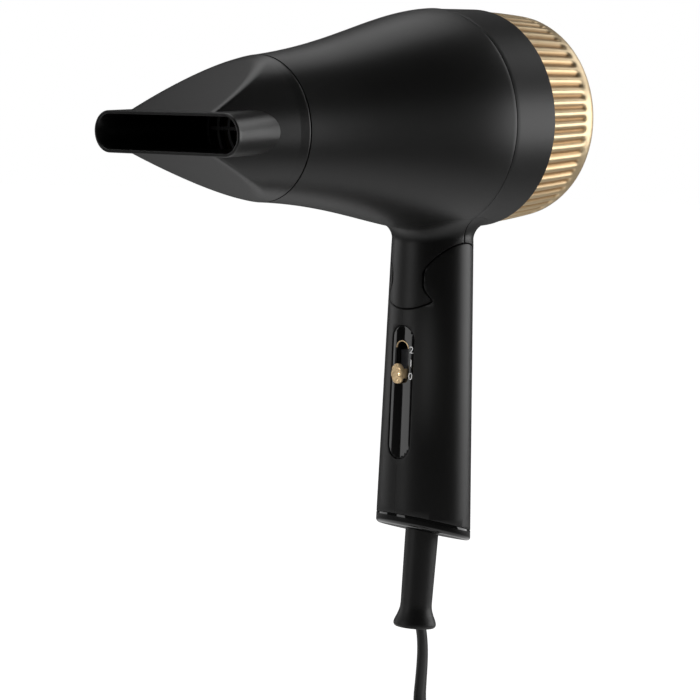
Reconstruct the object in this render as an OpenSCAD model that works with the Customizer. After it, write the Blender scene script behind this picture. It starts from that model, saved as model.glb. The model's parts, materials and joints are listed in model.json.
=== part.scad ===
// Folding travel hair dryer with a concentrator nozzle, a ribbed rear cover and a coiled mains lead.
// The origin is in the middle of the grip, on the handle's axis. +Z is up along the handle,
// -X is the way the air blows and +Y is the user's right. Lengths are in millimetres.

/* [Barrel] */
// Height of the barrel's axis above the middle of the grip
barrel_z = 110; // [108:0.5:114]
// Rise of the barrel's axis towards the rear, in degrees
barrel_tilt = 3.3; // [2:0.1:4]
// Radius of the barrel where the two casings meet
barrel_r = 39.5; // [39.3:0.1:39.8]
// Radius of the barrel at the nozzle
outlet_r = 24.4; // [24.2:0.1:24.8]
// Thickness of the casing walls
wall = 2; // [1.8:0.1:2.2]

/* [Handle] */
// Half depth of the handle at its top, front to back
grip_a_top = 13.9; // [13.7:0.1:14]
// Half width of the handle at its top
grip_b_top = 14.9; // [14.8:0.1:15.2]
// Half depth of the handle at its bottom
grip_a_low = 15.8; // [15.6:0.1:16]
// Half width of the handle at its bottom
grip_b_low = 18.7; // [18.4:0.1:18.9]
// Slant of the handle's end, lower at the back, in degrees
end_slant = 15; // [13:0.5:16]

/* [Hinge] */
// Radius of the round cheeks at the top of the handle
cheek_r = 13.2; // [13:0.1:13.3]
// Half width of the tongue that the cheeks hold
tongue_w = 7; // [6.8:0.1:7]
// Radius of the hinge pin
pin_r = 2; // [1.9:0.05:2.1]

/* [Switch] */
// Travel of the slider from 0 to 2
switch_travel = 9.4; // [8:0.2:9.4]

/* [Nozzle] */
// Half width of the air slot
slot_half_w = 33.3; // [32.5:0.1:33.5]
// Half height of the air slot
slot_half_h = 5.6; // [5.4:0.1:5.7]

/* [Rear cover] */
// Number of ribs round the cover
rib_count = 58; // [56:1:60]

/* [Hidden] */
$fn = 96;

eps = 0.01;
big = 200;
// The hinge's axis runs along Y through this point
pivot_x = 0.7;
pivot_z = 53.5;
// Levels along the barrel's axis: nozzle joint, casing joint, front and back of the cover
nozzle_s = -87.5;
joint_s = -2.5;
cover_s = 19;
rim_s = 46;
mouth_s = -129.6;
// The flap's lower edge, at x from the pivot
function flap_z(x) = -7.2 + 0.86 * (x + 11.4);
// Height of the handle's slanted end on its axis
end_z = -34.3;
cap_h = 3.9;
// Surface that the lead's coil lies on
floor_z = -148;

// ---- shared shapes ----

// Places children in the barrel's own frame, with X along its axis.
module on_barrel() {
  translate([0, 0, barrel_z]) rotate([0, -barrel_tilt, 0]) children();
}

// A round bar or tube along X from s0 to s1.
module bar_x(r, s0, s1) {
  translate([s0, 0, 0]) rotate([0, 90, 0]) cylinder(r = r, h = s1 - s0);
}

module tube_x(ro, ri, s0, s1) {
  difference() {
    bar_x(ro, s0, s1);
    bar_x(ri, s0 - 1, s1 + 1);
  }
}

// A closed profile of [radius, s] points turned about X.
module turned_x(points) {
  rotate([0, 90, 0]) rotate_extrude() polygon(points);
}

// A 2D outline in the XZ plane, extruded along Y.
module side(w) {
  rotate([90, 0, 0]) linear_extrude(height = w, center = true) children();
}

function bezier(a, b, c, d, t) =
  a * pow(1 - t, 3) + b * 3 * t * pow(1 - t, 2) + c * 3 * t * t * (1 - t) + d * pow(t, 3);

// Outer line of the front casing, as [radius, s].
function front_line(t) =
  bezier([outlet_r, nozzle_s], [outlet_r + 3.6, nozzle_s + 40],
    [barrel_r - 0.65, joint_s - 22], [barrel_r, joint_s], t);

line_steps = 18;
front_points = [for (i = [0:line_steps]) front_line(i / line_steps)];
front_inner = [for (i = [line_steps:-1:0]) front_line(i / line_steps) - [wall, 0]];

// The tapered oval bar that the handle and the neck are cut from, inset on all sides.
module grip_bar(inset) {
  hull() {
    translate([0, 0, 75]) linear_extrude(eps)
      scale([grip_a_top - inset, grip_b_top - inset]) circle(1, $fn = 56);
    translate([0, 0, -50]) linear_extrude(eps)
      scale([grip_a_low - inset, grip_b_low - inset]) circle(1, $fn = 56);
  }
}

// Everything below the slanted plane that crosses the handle's axis at z.
module below(z) {
  translate([0, 0, z]) rotate([0, end_slant, 0]) translate([-big / 2, -big / 2, -big])
    cube([big, big, big]);
}

// ---- hinge outlines, seen from the side, with the pivot at [0, 0] ----

// The flap's lower edge as a line that runs forwards and down, lowered by drop.
module above_flap_edge(x, drop) {
  low = flap_z(-16.4) - drop;
  polygon([[x, 60], [x, flap_z(x) - drop], [-16.4, low], [-30, low], [-30, 60]]);
}

// The neck's front flap.
module flap_line(gap) {
  above_flap_edge(-11.4 + gap, gap * 1.85);
}

// What the neck keeps beside the tongue.
module neck_side_line() {
  difference() {
    union() {
      translate([-30, 0]) square([60, 40]);
      flap_line(0);
    }
    circle(cheek_r + 0.3);
  }
}

// The tongue between the cheeks, with its stem.
module tongue_line() {
  circle(cheek_r - 0.3);
  above_flap_edge(0, 0);
  translate([-1, 0]) square([7, 40]);
}

// What the handle keeps at its cheeks.
module cheek_line() {
  circle(cheek_r);
  difference() {
    translate([-30, -big]) square([30, big]);
    flap_line(0.3);
  }
  translate([0, -big]) square([30, big]);
}

// The hollow behind the cheeks that takes the neck's back when the barrel is folded.
module neck_room() {
  difference() {
    translate([0, 0, pivot_x]) rotate([0, 90, 0]) linear_extrude(30)
      scale([grip_a_top + 0.7, grip_b_top + 0.7]) circle(1, $fn = 56);
    rotate([90, 0, 0]) cylinder(r = cheek_r, h = 80, center = true);
  }
}

// What the handle keeps between the cheeks.
module fork_line() {
  difference() {
    union() {
      difference() {
        translate([-30, -big]) square([30, big + 3]);
        above_flap_edge(1, 0.55);
      }
      translate([-30, -big]) square([60, big - 13.9]);
    }
    circle(cheek_r + 0.1);
  }
}

module at_pivot() {
  translate([pivot_x, 0, pivot_z]) children();
}

// ---- handle ----

fork_w = tongue_w + 0.6;
boss_x = 9;
boss_z = [32, -17];

module handle_blank() {
  difference() {
    intersection() {
      grip_bar(0);
      at_pivot() side(80) cheek_line();
    }
    below(end_z);
    at_pivot() side(2 * fork_w) difference() {
      translate([-30, -20]) square([60, 60]);
      fork_line();
    }
    at_pivot() neck_room();
  }
}

// The stadium outline of the switch window in the handle's front.
module window(half_w, low, high, depth) {
  translate([-depth, 0, 0]) rotate([0, -90, 0]) linear_extrude(30) {
    translate([low + half_w, 0]) circle(half_w);
    translate([high - half_w, 0]) circle(half_w);
    translate([low + half_w, -half_w]) square([high - low - 2 * half_w, 2 * half_w]);
  }
}

// The hollow inside the handle, closed at the top below the hinge.
module handle_hollow() {
  intersection() {
    grip_bar(wall);
    translate([-40, -40, -60]) cube([80, 80, 60 + pivot_z - 15.3]);
  }
}

module handle_half(k) {
  difference() {
    union() {
      difference() {
        handle_blank();
        handle_hollow();
      }
      intersection() {
        for (z = boss_z) translate([boss_x, 0, z]) rotate([90, 0, 0])
          cylinder(r = 3.4, h = 26, center = true);
        grip_bar(wall / 2);
      }
    }
    translate([-40, k > 0 ? -80 : 0, -80]) cube([80, 80, 200]);
    window(5.2, -10.7, 37.2, 5);
    at_pivot() rotate([90, 0, 0]) cylinder(r = pin_r, h = 26, center = true);
    translate([0, 0, 20]) cylinder(r = 4.5, h = 40);
    for (z = boss_z) translate([boss_x, 0, z]) {
      rotate([90, 0, 0]) cylinder(r = 1.5, h = 18, center = true);
      rotate([-90, 0, 0]) translate([0, 0, 8]) cylinder(r = 2.9, h = 12);
    }
  }
}

module handle_shell_left() {
  color([0.06, 0.06, 0.06]) handle_half(-1);
}

module handle_shell_right() {
  color([0.07, 0.07, 0.07]) handle_half(1);
}

module handle_screws() {
  color([0.6, 0.6, 0.62]) for (z = boss_z) translate([boss_x, 0, z]) rotate([-90, 0, 0]) {
    translate([0, 0, -8]) cylinder(r = 1.5, h = 16.5);
    difference() {
      translate([0, 0, 8]) cylinder(r = 2.7, h = 1.8);
      for (a = [0, 90]) rotate([0, 0, a]) translate([-1.6, -0.35, 8.9]) cube([3.2, 0.7, 2]);
    }
  }
}

module switch_panel() {
  color([0.02, 0.02, 0.02]) difference() {
    intersection() {
      grip_bar(0.35);
      window(5.1, -10.6, 37.1, 6);
    }
    grip_bar(wall + 0.1);
    window(2.7, 16.2, 33.2, 5);
  }
}

module end_cap() {
  color([0.02, 0.02, 0.02]) difference() {
    union() {
      intersection() {
        grip_bar(0);
        below(end_z - 0.1);
      }
      intersection() {
        difference() {
          grip_bar(wall + 0.1);
          grip_bar(wall + 1.5);
        }
        below(end_z + 4);
      }
    }
    below(end_z - cap_h);
    intersection() {
      grip_bar(wall + 1.5);
      difference() {
        translate([-40, -40, -60]) cube([80, 80, 60]);
        below(end_z - cap_h + 2);
      }
    }
    relief_axis() translate([0, 0, -20]) cylinder(r = 5.2, h = 40);
  }
}

// Knob position 0 is at rest; the slider moves up to 2.
knob_z = 20;

module slider_knob() {
  color([0.83, 0.66, 0.36]) {
    for (i = [-1, 0, 1]) translate([-15.95, 0, knob_z + i * 2.1]) rotate([90, 0, 0])
      cylinder(r = 1.5, h = 4.6, center = true, $fn = 24);
    translate([-15.8, -2.3, knob_z - 1.8]) cube([3, 4.6, 3.6]);
  }
}

module slider_carrier() {
  color([0.15, 0.15, 0.16]) {
    translate([-12.8, -1.5, knob_z - 2.5]) cube([2, 3, 5]);
    translate([-10.8, -4, knob_z - 9]) cube([1.8, 8, 17]);
    translate([-9, -1.2, knob_z - 2]) cube([2.2, 2.4, 4]);
  }
}

module switch_block() {
  color([0.3, 0.3, 0.32]) difference() {
    translate([-8.6, -6, knob_z - 14]) cube([11, 12, 31]);
    translate([-9.6, -1.8, knob_z - 3]) cube([4, 3.6, 17]);
  }
  color([0.8, 0.7, 0.4]) for (y = [-3.2, 3.2])
    translate([-3.5, y - 0.4, knob_z - 18]) cube([2.4, 0.8, 4]);
}

module cord_clamp() {
  color([0.3, 0.3, 0.32]) difference() {
    translate([-6, -9.5, -27]) cube([5, 19, 5]);
    for (y = [-6.5, 6.5]) translate([-10, y, -24.5]) rotate([0, 90, 0]) cylinder(r = 1.3, h = 12);
  }
}

module clamp_screws() {
  color([0.6, 0.6, 0.62]) for (y = [-6.5, 6.5]) translate([0, y, -24.5]) rotate([0, -90, 0]) {
    translate([0, 0, 1.2]) cylinder(r = 1.3, h = 4.8);
    translate([0, 0, 6]) cylinder(r = 2.3, h = 1.5);
  }
}

module handle_leads() {
  color([0.45, 0.25, 0.15]) for (y = [-3.2, 3.2]) translate([1, y, -30])
    cylinder(r = 1, h = knob_z - 14 + 30);
}

// ---- hinge ----

module hinge_pin() {
  color([0.7, 0.7, 0.72]) at_pivot() rotate([90, 0, 0]) cylinder(r = pin_r, h = 26, center = true);
}

module hinge_washers() {
  color([0.75, 0.68, 0.4]) for (k = [-1, 1])
    at_pivot() translate([0, k * (tongue_w + 0.3), 0]) rotate([90, 0, 0]) difference() {
      cylinder(r = 7, h = 0.4, center = true);
      cylinder(r = pin_r + 0.1, h = 2, center = true);
    }
}

// ---- strain relief, lead and plug ----

relief_lean = 3.9;

// The strain relief's axis leaves the end cap a little forwards of straight down.
module relief_axis() {
  translate([-0.4, 0, -38.3]) rotate([0, relief_lean, 0]) children();
}

module strain_relief() {
  color([0.05, 0.05, 0.05]) relief_axis() difference() {
    rotate_extrude() polygon([[0, 6], [7.5, 6], [7.5, 3.4], [4.9, 3.4], [4.9, -2.2], [6, -2.6],
      [5.7, -26], [5.8, -27.5], [6.4, -29.5], [7.4, -31.4], [7.8, -33], [7.6, -34.2], [7, -34.7],
      [0, -34.7]]);
    translate([0, 0, -36]) cylinder(r = 3.4, h = 50);
    translate([0, 0, -35]) cylinder(r1 = 5.6, r2 = 3.4, h = 6);
  }
}

// The free lead hangs out of the strain relief and turns onto the coil's top outer turn.
cord_w = 6;
cord_t = 3.8;
coil_c = [-37.5, 0];
lead_route = [[-1.7, 0, -58], [-1.8, 0, -64], [-1, -0.6, -70], [0.2, -1.1, -76], [0.9, -1.1, -82],
  [1.3, -0.7, -88], [1.5, -0.2, -94], [1.5, 0, -100], [1.4, -1.1, -108.4], [0.8, -4.3, -116.2],
  [-0.5, -9.3, -122.8], [-2.9, -15.5, -127.9], [-6.4, -22, -131.1], [-10.9, -28.5, -132.2],
  [-16.4, -32.9, -132.3]];
tail_route = [[-30, -39, -138.2], [-37.5, -39.4, -138.2], [-45, -39.5, -138], [-53, -39.4, -137],
  [-61, -39.2, -135.9], [-68, -39, -135.5], [-74, -39, -135.5]];

// A flat lead swept along its route: one closed solid with eight sides.
sweep_sides = 8;

function unit(v) = v / norm(v);

function along(route, i) =
  unit(route[min(i + 1, len(route) - 1)] - route[max(i - 1, 0)]);

function section(route, i, wide) =
  let (t = along(route, i), u = unit(wide - t * (wide * t)), v = cross(t, u))
  [for (k = [0:sweep_sides - 1]) let (a = 360 * k / sweep_sides)
    route[i] + u * cord_w / 2 * cos(a) + v * cord_t / 2 * sin(a)];

module flat_lead(route, wide) {
  n = len(route);
  points = [for (i = [0:n - 1]) each section(route, i, wide[i])];
  faces = concat(
    [[for (k = [0:sweep_sides - 1]) k]],
    [[for (k = [sweep_sides - 1:-1:0]) (n - 1) * sweep_sides + k]],
    [for (i = [0:n - 2], k = [0:sweep_sides - 1], half = [0, 1])
      let (a = i * sweep_sides + k, b = i * sweep_sides + (k + 1) % sweep_sides)
      half == 0 ? [a, a + sweep_sides, b + sweep_sides] : [a, b + sweep_sides, b]]);
  polyhedron(points, faces, convexity = 6);
}

module cord() {
  n = len(lead_route);
  wide = [for (i = [0:n - 1]) i < 8 ? [1, 1 - i * 0.14, 0] : [1, 0, 0]];
  color([0.08, 0.08, 0.08]) flat_lead(lead_route, wide);
}

module cord_tail() {
  wide = [for (i = [0:len(tail_route) - 1]) [0, 1, 0]];
  color([0.08, 0.08, 0.08]) flat_lead(tail_route, wide);
}

coil_in = 24;
coil_out = 42;
coil_low = floor_z + 0.8;
coil_h = 18;

module cord_coil() {
  color([0.08, 0.08, 0.08]) translate([coil_c.x, coil_c.y, coil_low])
    rotate_extrude() translate([coil_in, 0]) square([coil_out - coil_in, coil_h]);
}

tie_w = 12;

module cord_tie() {
  color([0.12, 0.12, 0.12]) translate([coil_c.x - tie_w / 2, coil_c.y, 0]) difference() {
    translate([0, coil_in - 1.6, floor_z]) cube([tie_w, coil_out - coil_in + 2.6, coil_h + 1.7]);
    translate([-1, coil_in - 0.8, coil_low - 0.05])
      cube([tie_w + 2, coil_out - coil_in + 1, coil_h + 0.1]);
  }
}

plug_face_x = -124;
plug_y = -39;
plug_z = -135.5;
pin_len = 19;
pin_half = 9.5;

module plug_body() {
  color([0.06, 0.06, 0.06]) translate([plug_face_x, plug_y, plug_z]) {
    difference() {
      union() {
        intersection() {
          bar_x(18.2, 0, 15);
          translate([0, -19, -12.4]) cube([15, 38, 24.8]);
        }
        turned_x([[0, 14], [12, 14], [11, 20], [9, 28], [7.6, 36], [7.2, 38], [5.2, 39], [4.6, 50],
          [0, 50]]);
      }
      bar_x(3.3, 44, 60);
      for (k = [-1, 1]) translate([0, k * pin_half, 0]) bar_x(2, -1, 8);
    }
  }
}

module plug_pins() {
  color([0.8, 0.8, 0.82]) for (k = [-1, 1])
    translate([plug_face_x, plug_y + k * pin_half, plug_z]) {
      bar_x(2.4, 1.2 - pin_len, 0);
      bar_x(2, -1, 8);
      translate([1.2 - pin_len, 0, 0]) rotate([0, -90, 0]) cylinder(r1 = 2.4, r2 = 1.5, h = 1.2);
    }
}

// ---- barrel ----

// The neck under the barrel, flared where it meets the barrel's underside.
// Each row is the height, and how far the neck's depth and width have grown there.
flare = [[66, 0, 0], [68.4, 0.7, 0], [70, 2.2, 0.1], [71.4, 5.2, 0.7], [73.4, 6, 2.2], [76.4, 7, 6]];

module neck_slice(row) {
  translate([0, 0, row[0]]) linear_extrude(eps)
    scale([14 + row[1], 15.1 + row[2]]) circle(1, $fn = 56);
}

module neck_bar() {
  intersection() {
    grip_bar(0);
    translate([-40, -40, pivot_z - 20]) cube([80, 80, 90 - pivot_z]);
  }
  for (i = [0:len(flare) - 2]) hull() {
    neck_slice(flare[i]);
    neck_slice(flare[i + 1]);
  }
}

module barrel_core(extra) {
  on_barrel() turned_x(concat([[0, nozzle_s - 5]], [[outlet_r - wall + extra, nozzle_s - 5]],
    [for (p = front_points) p + [extra - wall, 0]],
    [[barrel_r - wall - 0.3 + extra, joint_s], [barrel_r - wall - 0.5 + extra, cover_s],
      [0, cover_s]]));
}

// The neck, cut to the joint's outlines and opened into the barrel.
module neck_front() {
  difference() {
    intersection() {
      neck_bar();
      union() {
        at_pivot() side(2 * tongue_w) tongue_line();
        intersection() {
          at_pivot() side(80) neck_side_line();
          on_barrel() translate([joint_s - 0.1 - big, -big / 2, -big / 2]) cube(big);
        }
      }
    }
    barrel_core(0);
    at_pivot() rotate([90, 0, 0]) cylinder(r = pin_r + 0.06, h = 40, center = true);
    on_barrel() bar_x(barrel_r + 0.1, joint_s, cover_s);
  }
}

// The hole that takes the leads from the hinge up into the barrel.
module lead_way() {
  translate([pivot_x - 5.5, 0, pivot_z + 2]) cylinder(r = 2.2, h = 40);
}

spigot_r = 21.5;
spigot_len = 6.5;

module front_casing() {
  color([0.07, 0.07, 0.07]) {
    difference() {
      union() {
        on_barrel() turned_x(concat(front_points, front_inner));
        on_barrel() turned_x([[spigot_r, nozzle_s - spigot_len], [spigot_r, nozzle_s],
          [outlet_r, nozzle_s], [outlet_r, nozzle_s + 2], [outlet_r - wall, nozzle_s + 2],
          [spigot_r - 1.5, nozzle_s - 0.5], [spigot_r - 1.5, nozzle_s - spigot_len]]);
        on_barrel() intersection() {
          for (a = screw_angles) rotate([a, 0, 0]) translate([0, 0, boss_r]) bar_x(2.1, -16, -4.2);
          turned_x(concat([[0, nozzle_s]], front_points, [[0, joint_s]]));
        }
        neck_front();
      }
      on_barrel() for (a = screw_angles) rotate([a, 0, 0]) translate([0, 0, boss_r])
        bar_x(1.2, -14, 0);
      lead_way();
    }
  }
}

screw_angles = [30, 150, 270];
boss_r = 34.4;

module rear_casing() {
  color([0.06, 0.06, 0.06]) {
    difference() {
      union() {
        on_barrel() turned_x([[barrel_r - 0.2, joint_s + 0.2], [barrel_r - 0.5, cover_s],
          [32.9, cover_s], [32.9, cover_s - 2], [barrel_r - wall - 0.5, cover_s - 2],
          [barrel_r - wall - 0.2, joint_s + 0.2]]);
        on_barrel() tube_x(barrel_r - wall - 0.1, barrel_r - wall - 1.2, joint_s - 1.6, cover_s - 2);
        on_barrel() tube_x(34.3, 32.9, cover_s - 1, cover_s + 9);
        difference() {
          intersection() {
            neck_bar();
            at_pivot() side(80) neck_side_line();
            on_barrel() translate([joint_s + 0.2, -big / 2, -big / 2]) cube(big);
          }
          barrel_core(0);
          at_pivot() side(2 * tongue_w + 0.2) translate([-20, -20]) square([26.2, 60]);
        }
      }
      for (a = lug_angles) on_barrel() rotate([a - 6, 0, 0]) sector(32, 35, 32, 23.6, 26.6);
    }
  }
}

// Part of a ring about X, from 0 to the given angle.
module sector(ri, ro, angle, s0, s1) {
  rotate([0, 90, 0]) rotate_extrude(angle = angle) translate([ri, s0]) square([ro - ri, s1 - s0]);
}

lug_angles = [0, 120, 240];

grille_s = -93.2;

module outlet_grille() {
  color([0.12, 0.12, 0.12]) on_barrel() {
    tube_x(19.9, 18.4, grille_s, grille_s + 4.5);
    for (r = [4.5, 9.5, 14.5]) tube_x(r + 0.6, r - 0.6, grille_s + 0.5, grille_s + 2.5);
    for (a = [0:45:135]) rotate([a, 0, 0]) translate([grille_s + 0.5, -0.6, -19])
      cube([2, 1.2, 38]);
  }
}

module mica_sleeve() {
  color([0.75, 0.68, 0.5]) on_barrel() tube_x(19.8, 19.2, -86.5, -34);
}

board_notches = [-80, -72, -64, -56, -48, -40];

module mica_boards() {
  color([0.8, 0.74, 0.58]) on_barrel() difference() {
    union() {
      translate([-86, -0.5, -19.1]) cube([54, 1, 38.2]);
      translate([-86, -19.1, -0.5]) cube([54, 38.2, 1]);
    }
    for (s = board_notches) tube_x(17.7, 13.3, s - 2.1, s + 2.1);
  }
}

module heater_coils() {
  color([0.62, 0.6, 0.58]) on_barrel() for (s = board_notches)
    rotate([0, 90, 0]) rotate_extrude() translate([15.5, s]) circle(1.7, $fn = 24);
}

module thermostat() {
  color([0.85, 0.8, 0.7]) on_barrel() translate([-52, 0.6, 4]) {
    cube([9, 1.2, 5]);
    translate([1.5, 1.2, 0.8]) cube([6, 1.4, 3.4]);
  }
}

module thermal_fuse() {
  color([0.8, 0.8, 0.75]) on_barrel() translate([0, 2.2, -6]) {
    bar_x(1.5, -70, -60);
    bar_x(0.45, -78, -52);
  }
}

module fan_housing() {
  color([0.2, 0.2, 0.22]) on_barrel() difference() {
    union() {
      tube_x(32.2, 30.6, -22, 20);
      tube_x(36.1, 31.5, -4, -2.2);
      tube_x(15.9, 14.4, -24, 2);
      tube_x(14.9, 4.2, -25.4, -24);
      for (a = [0:360 / 7:359]) rotate([a, 0, 0]) translate([-20, -0.7, 15.4]) cube([16, 1.4, 15.8]);
    }
    for (a = screw_angles) rotate([a, 0, 0]) translate([0, 0, boss_r]) bar_x(1.4, -6, 0);
  }
}

module motor_can() {
  color([0.7, 0.7, 0.72]) on_barrel() difference() {
    union() {
      bar_x(14.3, -22.5, 4);
      bar_x(4, 4, 5.6);
      bar_x(3.8, -25, -22.5);
    }
    bar_x(1.05, -10, 8);
  }
}

module casing_screws() {
  color([0.6, 0.6, 0.62]) on_barrel() for (a = screw_angles) rotate([a, 0, 0])
    translate([0, 0, boss_r]) {
      bar_x(1.2, -13, -2.2);
      bar_x(1.9, -2.2, -0.8);
    }
}

module rectifier_board() {
  color([0.2, 0.4, 0.25]) on_barrel() translate([-30.5, -11, -11]) difference() {
    cube([1.4, 22, 22]);
    for (y = [4, 18]) translate([-1, y, 4]) rotate([0, 90, 0]) cylinder(r = 1, h = 4);
  }
  color([0.1, 0.1, 0.1]) on_barrel() for (y = [-6, -2, 2, 6]) translate([-31.8, y - 1.2, -3])
    cube([1.3, 2.4, 6]);
}

module barrel_leads() {
  color([0.15, 0.15, 0.3]) for (y = [-1.1, 1.1]) translate([pivot_x - 5.5, y, pivot_z + 3])
    cylinder(r = 0.9, h = 19.5);
}

module motor_shaft() {
  color([0.8, 0.8, 0.82]) on_barrel() bar_x(1, -9, 18.6);
}

blade_count = 9;

module impeller() {
  color([0.25, 0.25, 0.27]) on_barrel() difference() {
    union() {
      bar_x(2.6, 7, 18.2);
      tube_x(11.5, 10.1, 7, 17);
      bar_x(10.6, 15.4, 17);
      for (i = [0:blade_count - 1]) rotate([i * 360 / blade_count, 0, 0])
        translate([12, 0, 20.2]) rotate([0, 0, 38]) cube([11, 1.2, 18.6], center = true);
    }
    bar_x(1, 6, 19);
  }
}

// ---- nozzle ----

module slot_shape(half_w, half_h, s0, s1) {
  for (k = [-1, 1]) translate([0, k * (half_w - half_h), 0]) bar_x(half_h, s0, s1);
  translate([s0, half_h - half_w, -half_h]) cube([s1 - s0, 2 * (half_w - half_h), 2 * half_h]);
}

// Where the nozzle's two flats start, and their half height at the mouth
flat_s = -92;
flat_half_h = 5.5;
// The duct leaves the nozzle's sides from here on, and widens to the mouth
duct_s = -100;

// The wedge between the two flats, inset on all sides.
module wedge(inset) {
  side(80) polygon([[nozzle_s, outlet_r + 1], [flat_s, outlet_r - 0.5 - inset],
    [mouth_s - 1, flat_half_h - 0.5 - inset], [mouth_s - 1, 0.5 + inset - flat_half_h],
    [flat_s, 0.5 + inset - outlet_r], [nozzle_s, -outlet_r - 1]]);
}

module nozzle() {
  lip = 1.3;
  color([0.09, 0.09, 0.09]) on_barrel() difference() {
    union() {
      intersection() {
        turned_x([[0, mouth_s], [21.2, mouth_s], [outlet_r - 0.5, flat_s],
          [outlet_r, nozzle_s - 1.2], [outlet_r, nozzle_s - 0.4], [0, nozzle_s - 0.4]]);
        wedge(0);
      }
      hull() {
        slot_shape(23, slot_half_h + lip + 0.6, duct_s, duct_s + 0.1);
        slot_shape(slot_half_w + lip, slot_half_h + lip, mouth_s, mouth_s + 0.1);
      }
    }
    bar_x(spigot_r + 0.3, nozzle_s - spigot_len - 0.4, nozzle_s + 1);
    intersection() {
      turned_x([[0, mouth_s - 1], [19.6, mouth_s - 1], [spigot_r, nozzle_s - spigot_len],
        [0, nozzle_s - spigot_len]]);
      wedge(1.4);
    }
    hull() {
      slot_shape(21.4, slot_half_h + 0.6, duct_s, duct_s + 0.1);
      slot_shape(slot_half_w + 0.2, slot_half_h, mouth_s - 0.5, mouth_s - 0.4);
    }
  }
}

// ---- rear cover ----

crest = [[38.5, cover_s + 0.3], [37.6, 29], [37, 39.5]];

module cover_ring() {
  color([0.83, 0.67, 0.4]) on_barrel() {
    difference() {
      turned_x(concat(crest, [[36.8, 41.5], [36.2, 43.6], [35.2, 45.2], [34, 46], [32.8, 45.8],
        [32, 44.8], [31.8, 43.2], [31.8, 41], [33.6, 41], [33.6, 31], [34.6, 30],
        [34.6, cover_s + 0.3]]));
      for (i = [0:rib_count - 1]) rotate([i * 360 / rib_count, 0, 0])
        translate([cover_s, -1, 37.6]) rotate([0, 4.2, 0]) translate([-1, 0, 0]) cube([20.8, 2, 3]);
    }
    for (a = lug_angles) rotate([a, 0, 0]) sector(33.1, 35, 6, 24.1, 26.1);
  }
}

guard_rings = [8, 13, 18, 23, 28];

module intake_guard() {
  color([0.1, 0.1, 0.1]) on_barrel() {
    tube_x(33.5, 31.2, 38.4, 40.9);
    for (r = guard_rings) tube_x(r + 0.8, r - 0.8, 38.4, 40.4);
    bar_x(4, 38.4, 40.4);
    for (a = [0:30:150]) rotate([a, 0, 0]) translate([38.4, -0.8, -32]) cube([1.8, 1.6, 64]);
  }
}

module dust_mesh() {
  color([0.7, 0.7, 0.7]) on_barrel() bar_x(33.4, 37.7, 38.3);
}

handle_shell_left();
handle_shell_right();
handle_screws();
switch_panel();
end_cap();
switch_block();
cord_clamp();
clamp_screws();
handle_leads();
strain_relief();
hinge_pin();
hinge_washers();
cord();
cord_coil();
cord_tie();
cord_tail();
plug_body();
plug_pins();
slider_knob();
slider_carrier();
front_casing();
rear_casing();
outlet_grille();
mica_sleeve();
mica_boards();
heater_coils();
thermostat();
thermal_fuse();
fan_housing();
motor_can();
casing_screws();
rectifier_board();
barrel_leads();
motor_shaft();
impeller();
nozzle();
cover_ring();
intake_guard();
dust_mesh();
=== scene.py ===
# %% [markdown]
# # A folding travel hair dryer
# This lesson gives a finished CAD model of a hair dryer its looks. The CAD model fixes every size and
# every joint, and each new piece is built where the CAD piece is, so it can move with it.
# The first cell loads that model and keeps the box it fills.

# %% Load the frame
import json
import math

import bmesh
import bpy
from mathutils import Matrix, Vector


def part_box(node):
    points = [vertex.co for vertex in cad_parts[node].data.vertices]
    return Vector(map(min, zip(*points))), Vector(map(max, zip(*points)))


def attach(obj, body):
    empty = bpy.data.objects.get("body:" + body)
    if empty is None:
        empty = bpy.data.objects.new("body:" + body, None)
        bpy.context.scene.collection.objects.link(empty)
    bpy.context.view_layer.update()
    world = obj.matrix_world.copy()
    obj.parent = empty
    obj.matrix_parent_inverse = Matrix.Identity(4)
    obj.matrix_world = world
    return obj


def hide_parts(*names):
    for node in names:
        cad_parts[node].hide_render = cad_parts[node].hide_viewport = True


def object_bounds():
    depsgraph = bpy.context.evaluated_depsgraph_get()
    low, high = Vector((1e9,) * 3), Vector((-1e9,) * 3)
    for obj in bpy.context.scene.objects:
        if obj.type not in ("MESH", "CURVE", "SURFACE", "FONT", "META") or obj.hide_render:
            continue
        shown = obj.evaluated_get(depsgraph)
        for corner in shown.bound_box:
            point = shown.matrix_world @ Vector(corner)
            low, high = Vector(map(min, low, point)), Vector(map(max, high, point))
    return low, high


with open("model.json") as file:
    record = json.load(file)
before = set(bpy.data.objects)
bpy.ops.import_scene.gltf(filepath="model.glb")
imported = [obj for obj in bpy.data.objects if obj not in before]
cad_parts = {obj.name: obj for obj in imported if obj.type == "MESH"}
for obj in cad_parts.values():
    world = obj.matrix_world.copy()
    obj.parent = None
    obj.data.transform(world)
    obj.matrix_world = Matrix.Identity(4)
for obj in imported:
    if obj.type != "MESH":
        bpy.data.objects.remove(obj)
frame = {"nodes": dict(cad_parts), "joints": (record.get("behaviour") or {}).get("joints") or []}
cad_low, cad_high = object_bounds()
print("CAD pieces:", len(frame["nodes"]), "box", [round(v, 3) for v in cad_high - cad_low])

# %% [markdown]
# ## The camera
# The camera comes first, because it decides what is seen of the cord. It stands a little in front of
# the dryer and to its left, about 0.85 m away, with a long lens, as for a catalogue picture. A camera
# can be aimed with a constraint, but a matrix built from three directions also gives it a slight roll.

# %% Camera
CAMERA_PLACE = Vector((-0.6364, -0.5692, 0.1046))
CAMERA_TURN = math.radians(-46.29)
CAMERA_RISE = math.radians(5.21)
CAMERA_ROLL = math.radians(1.77)
CAMERA_LENS = 122.6


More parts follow.
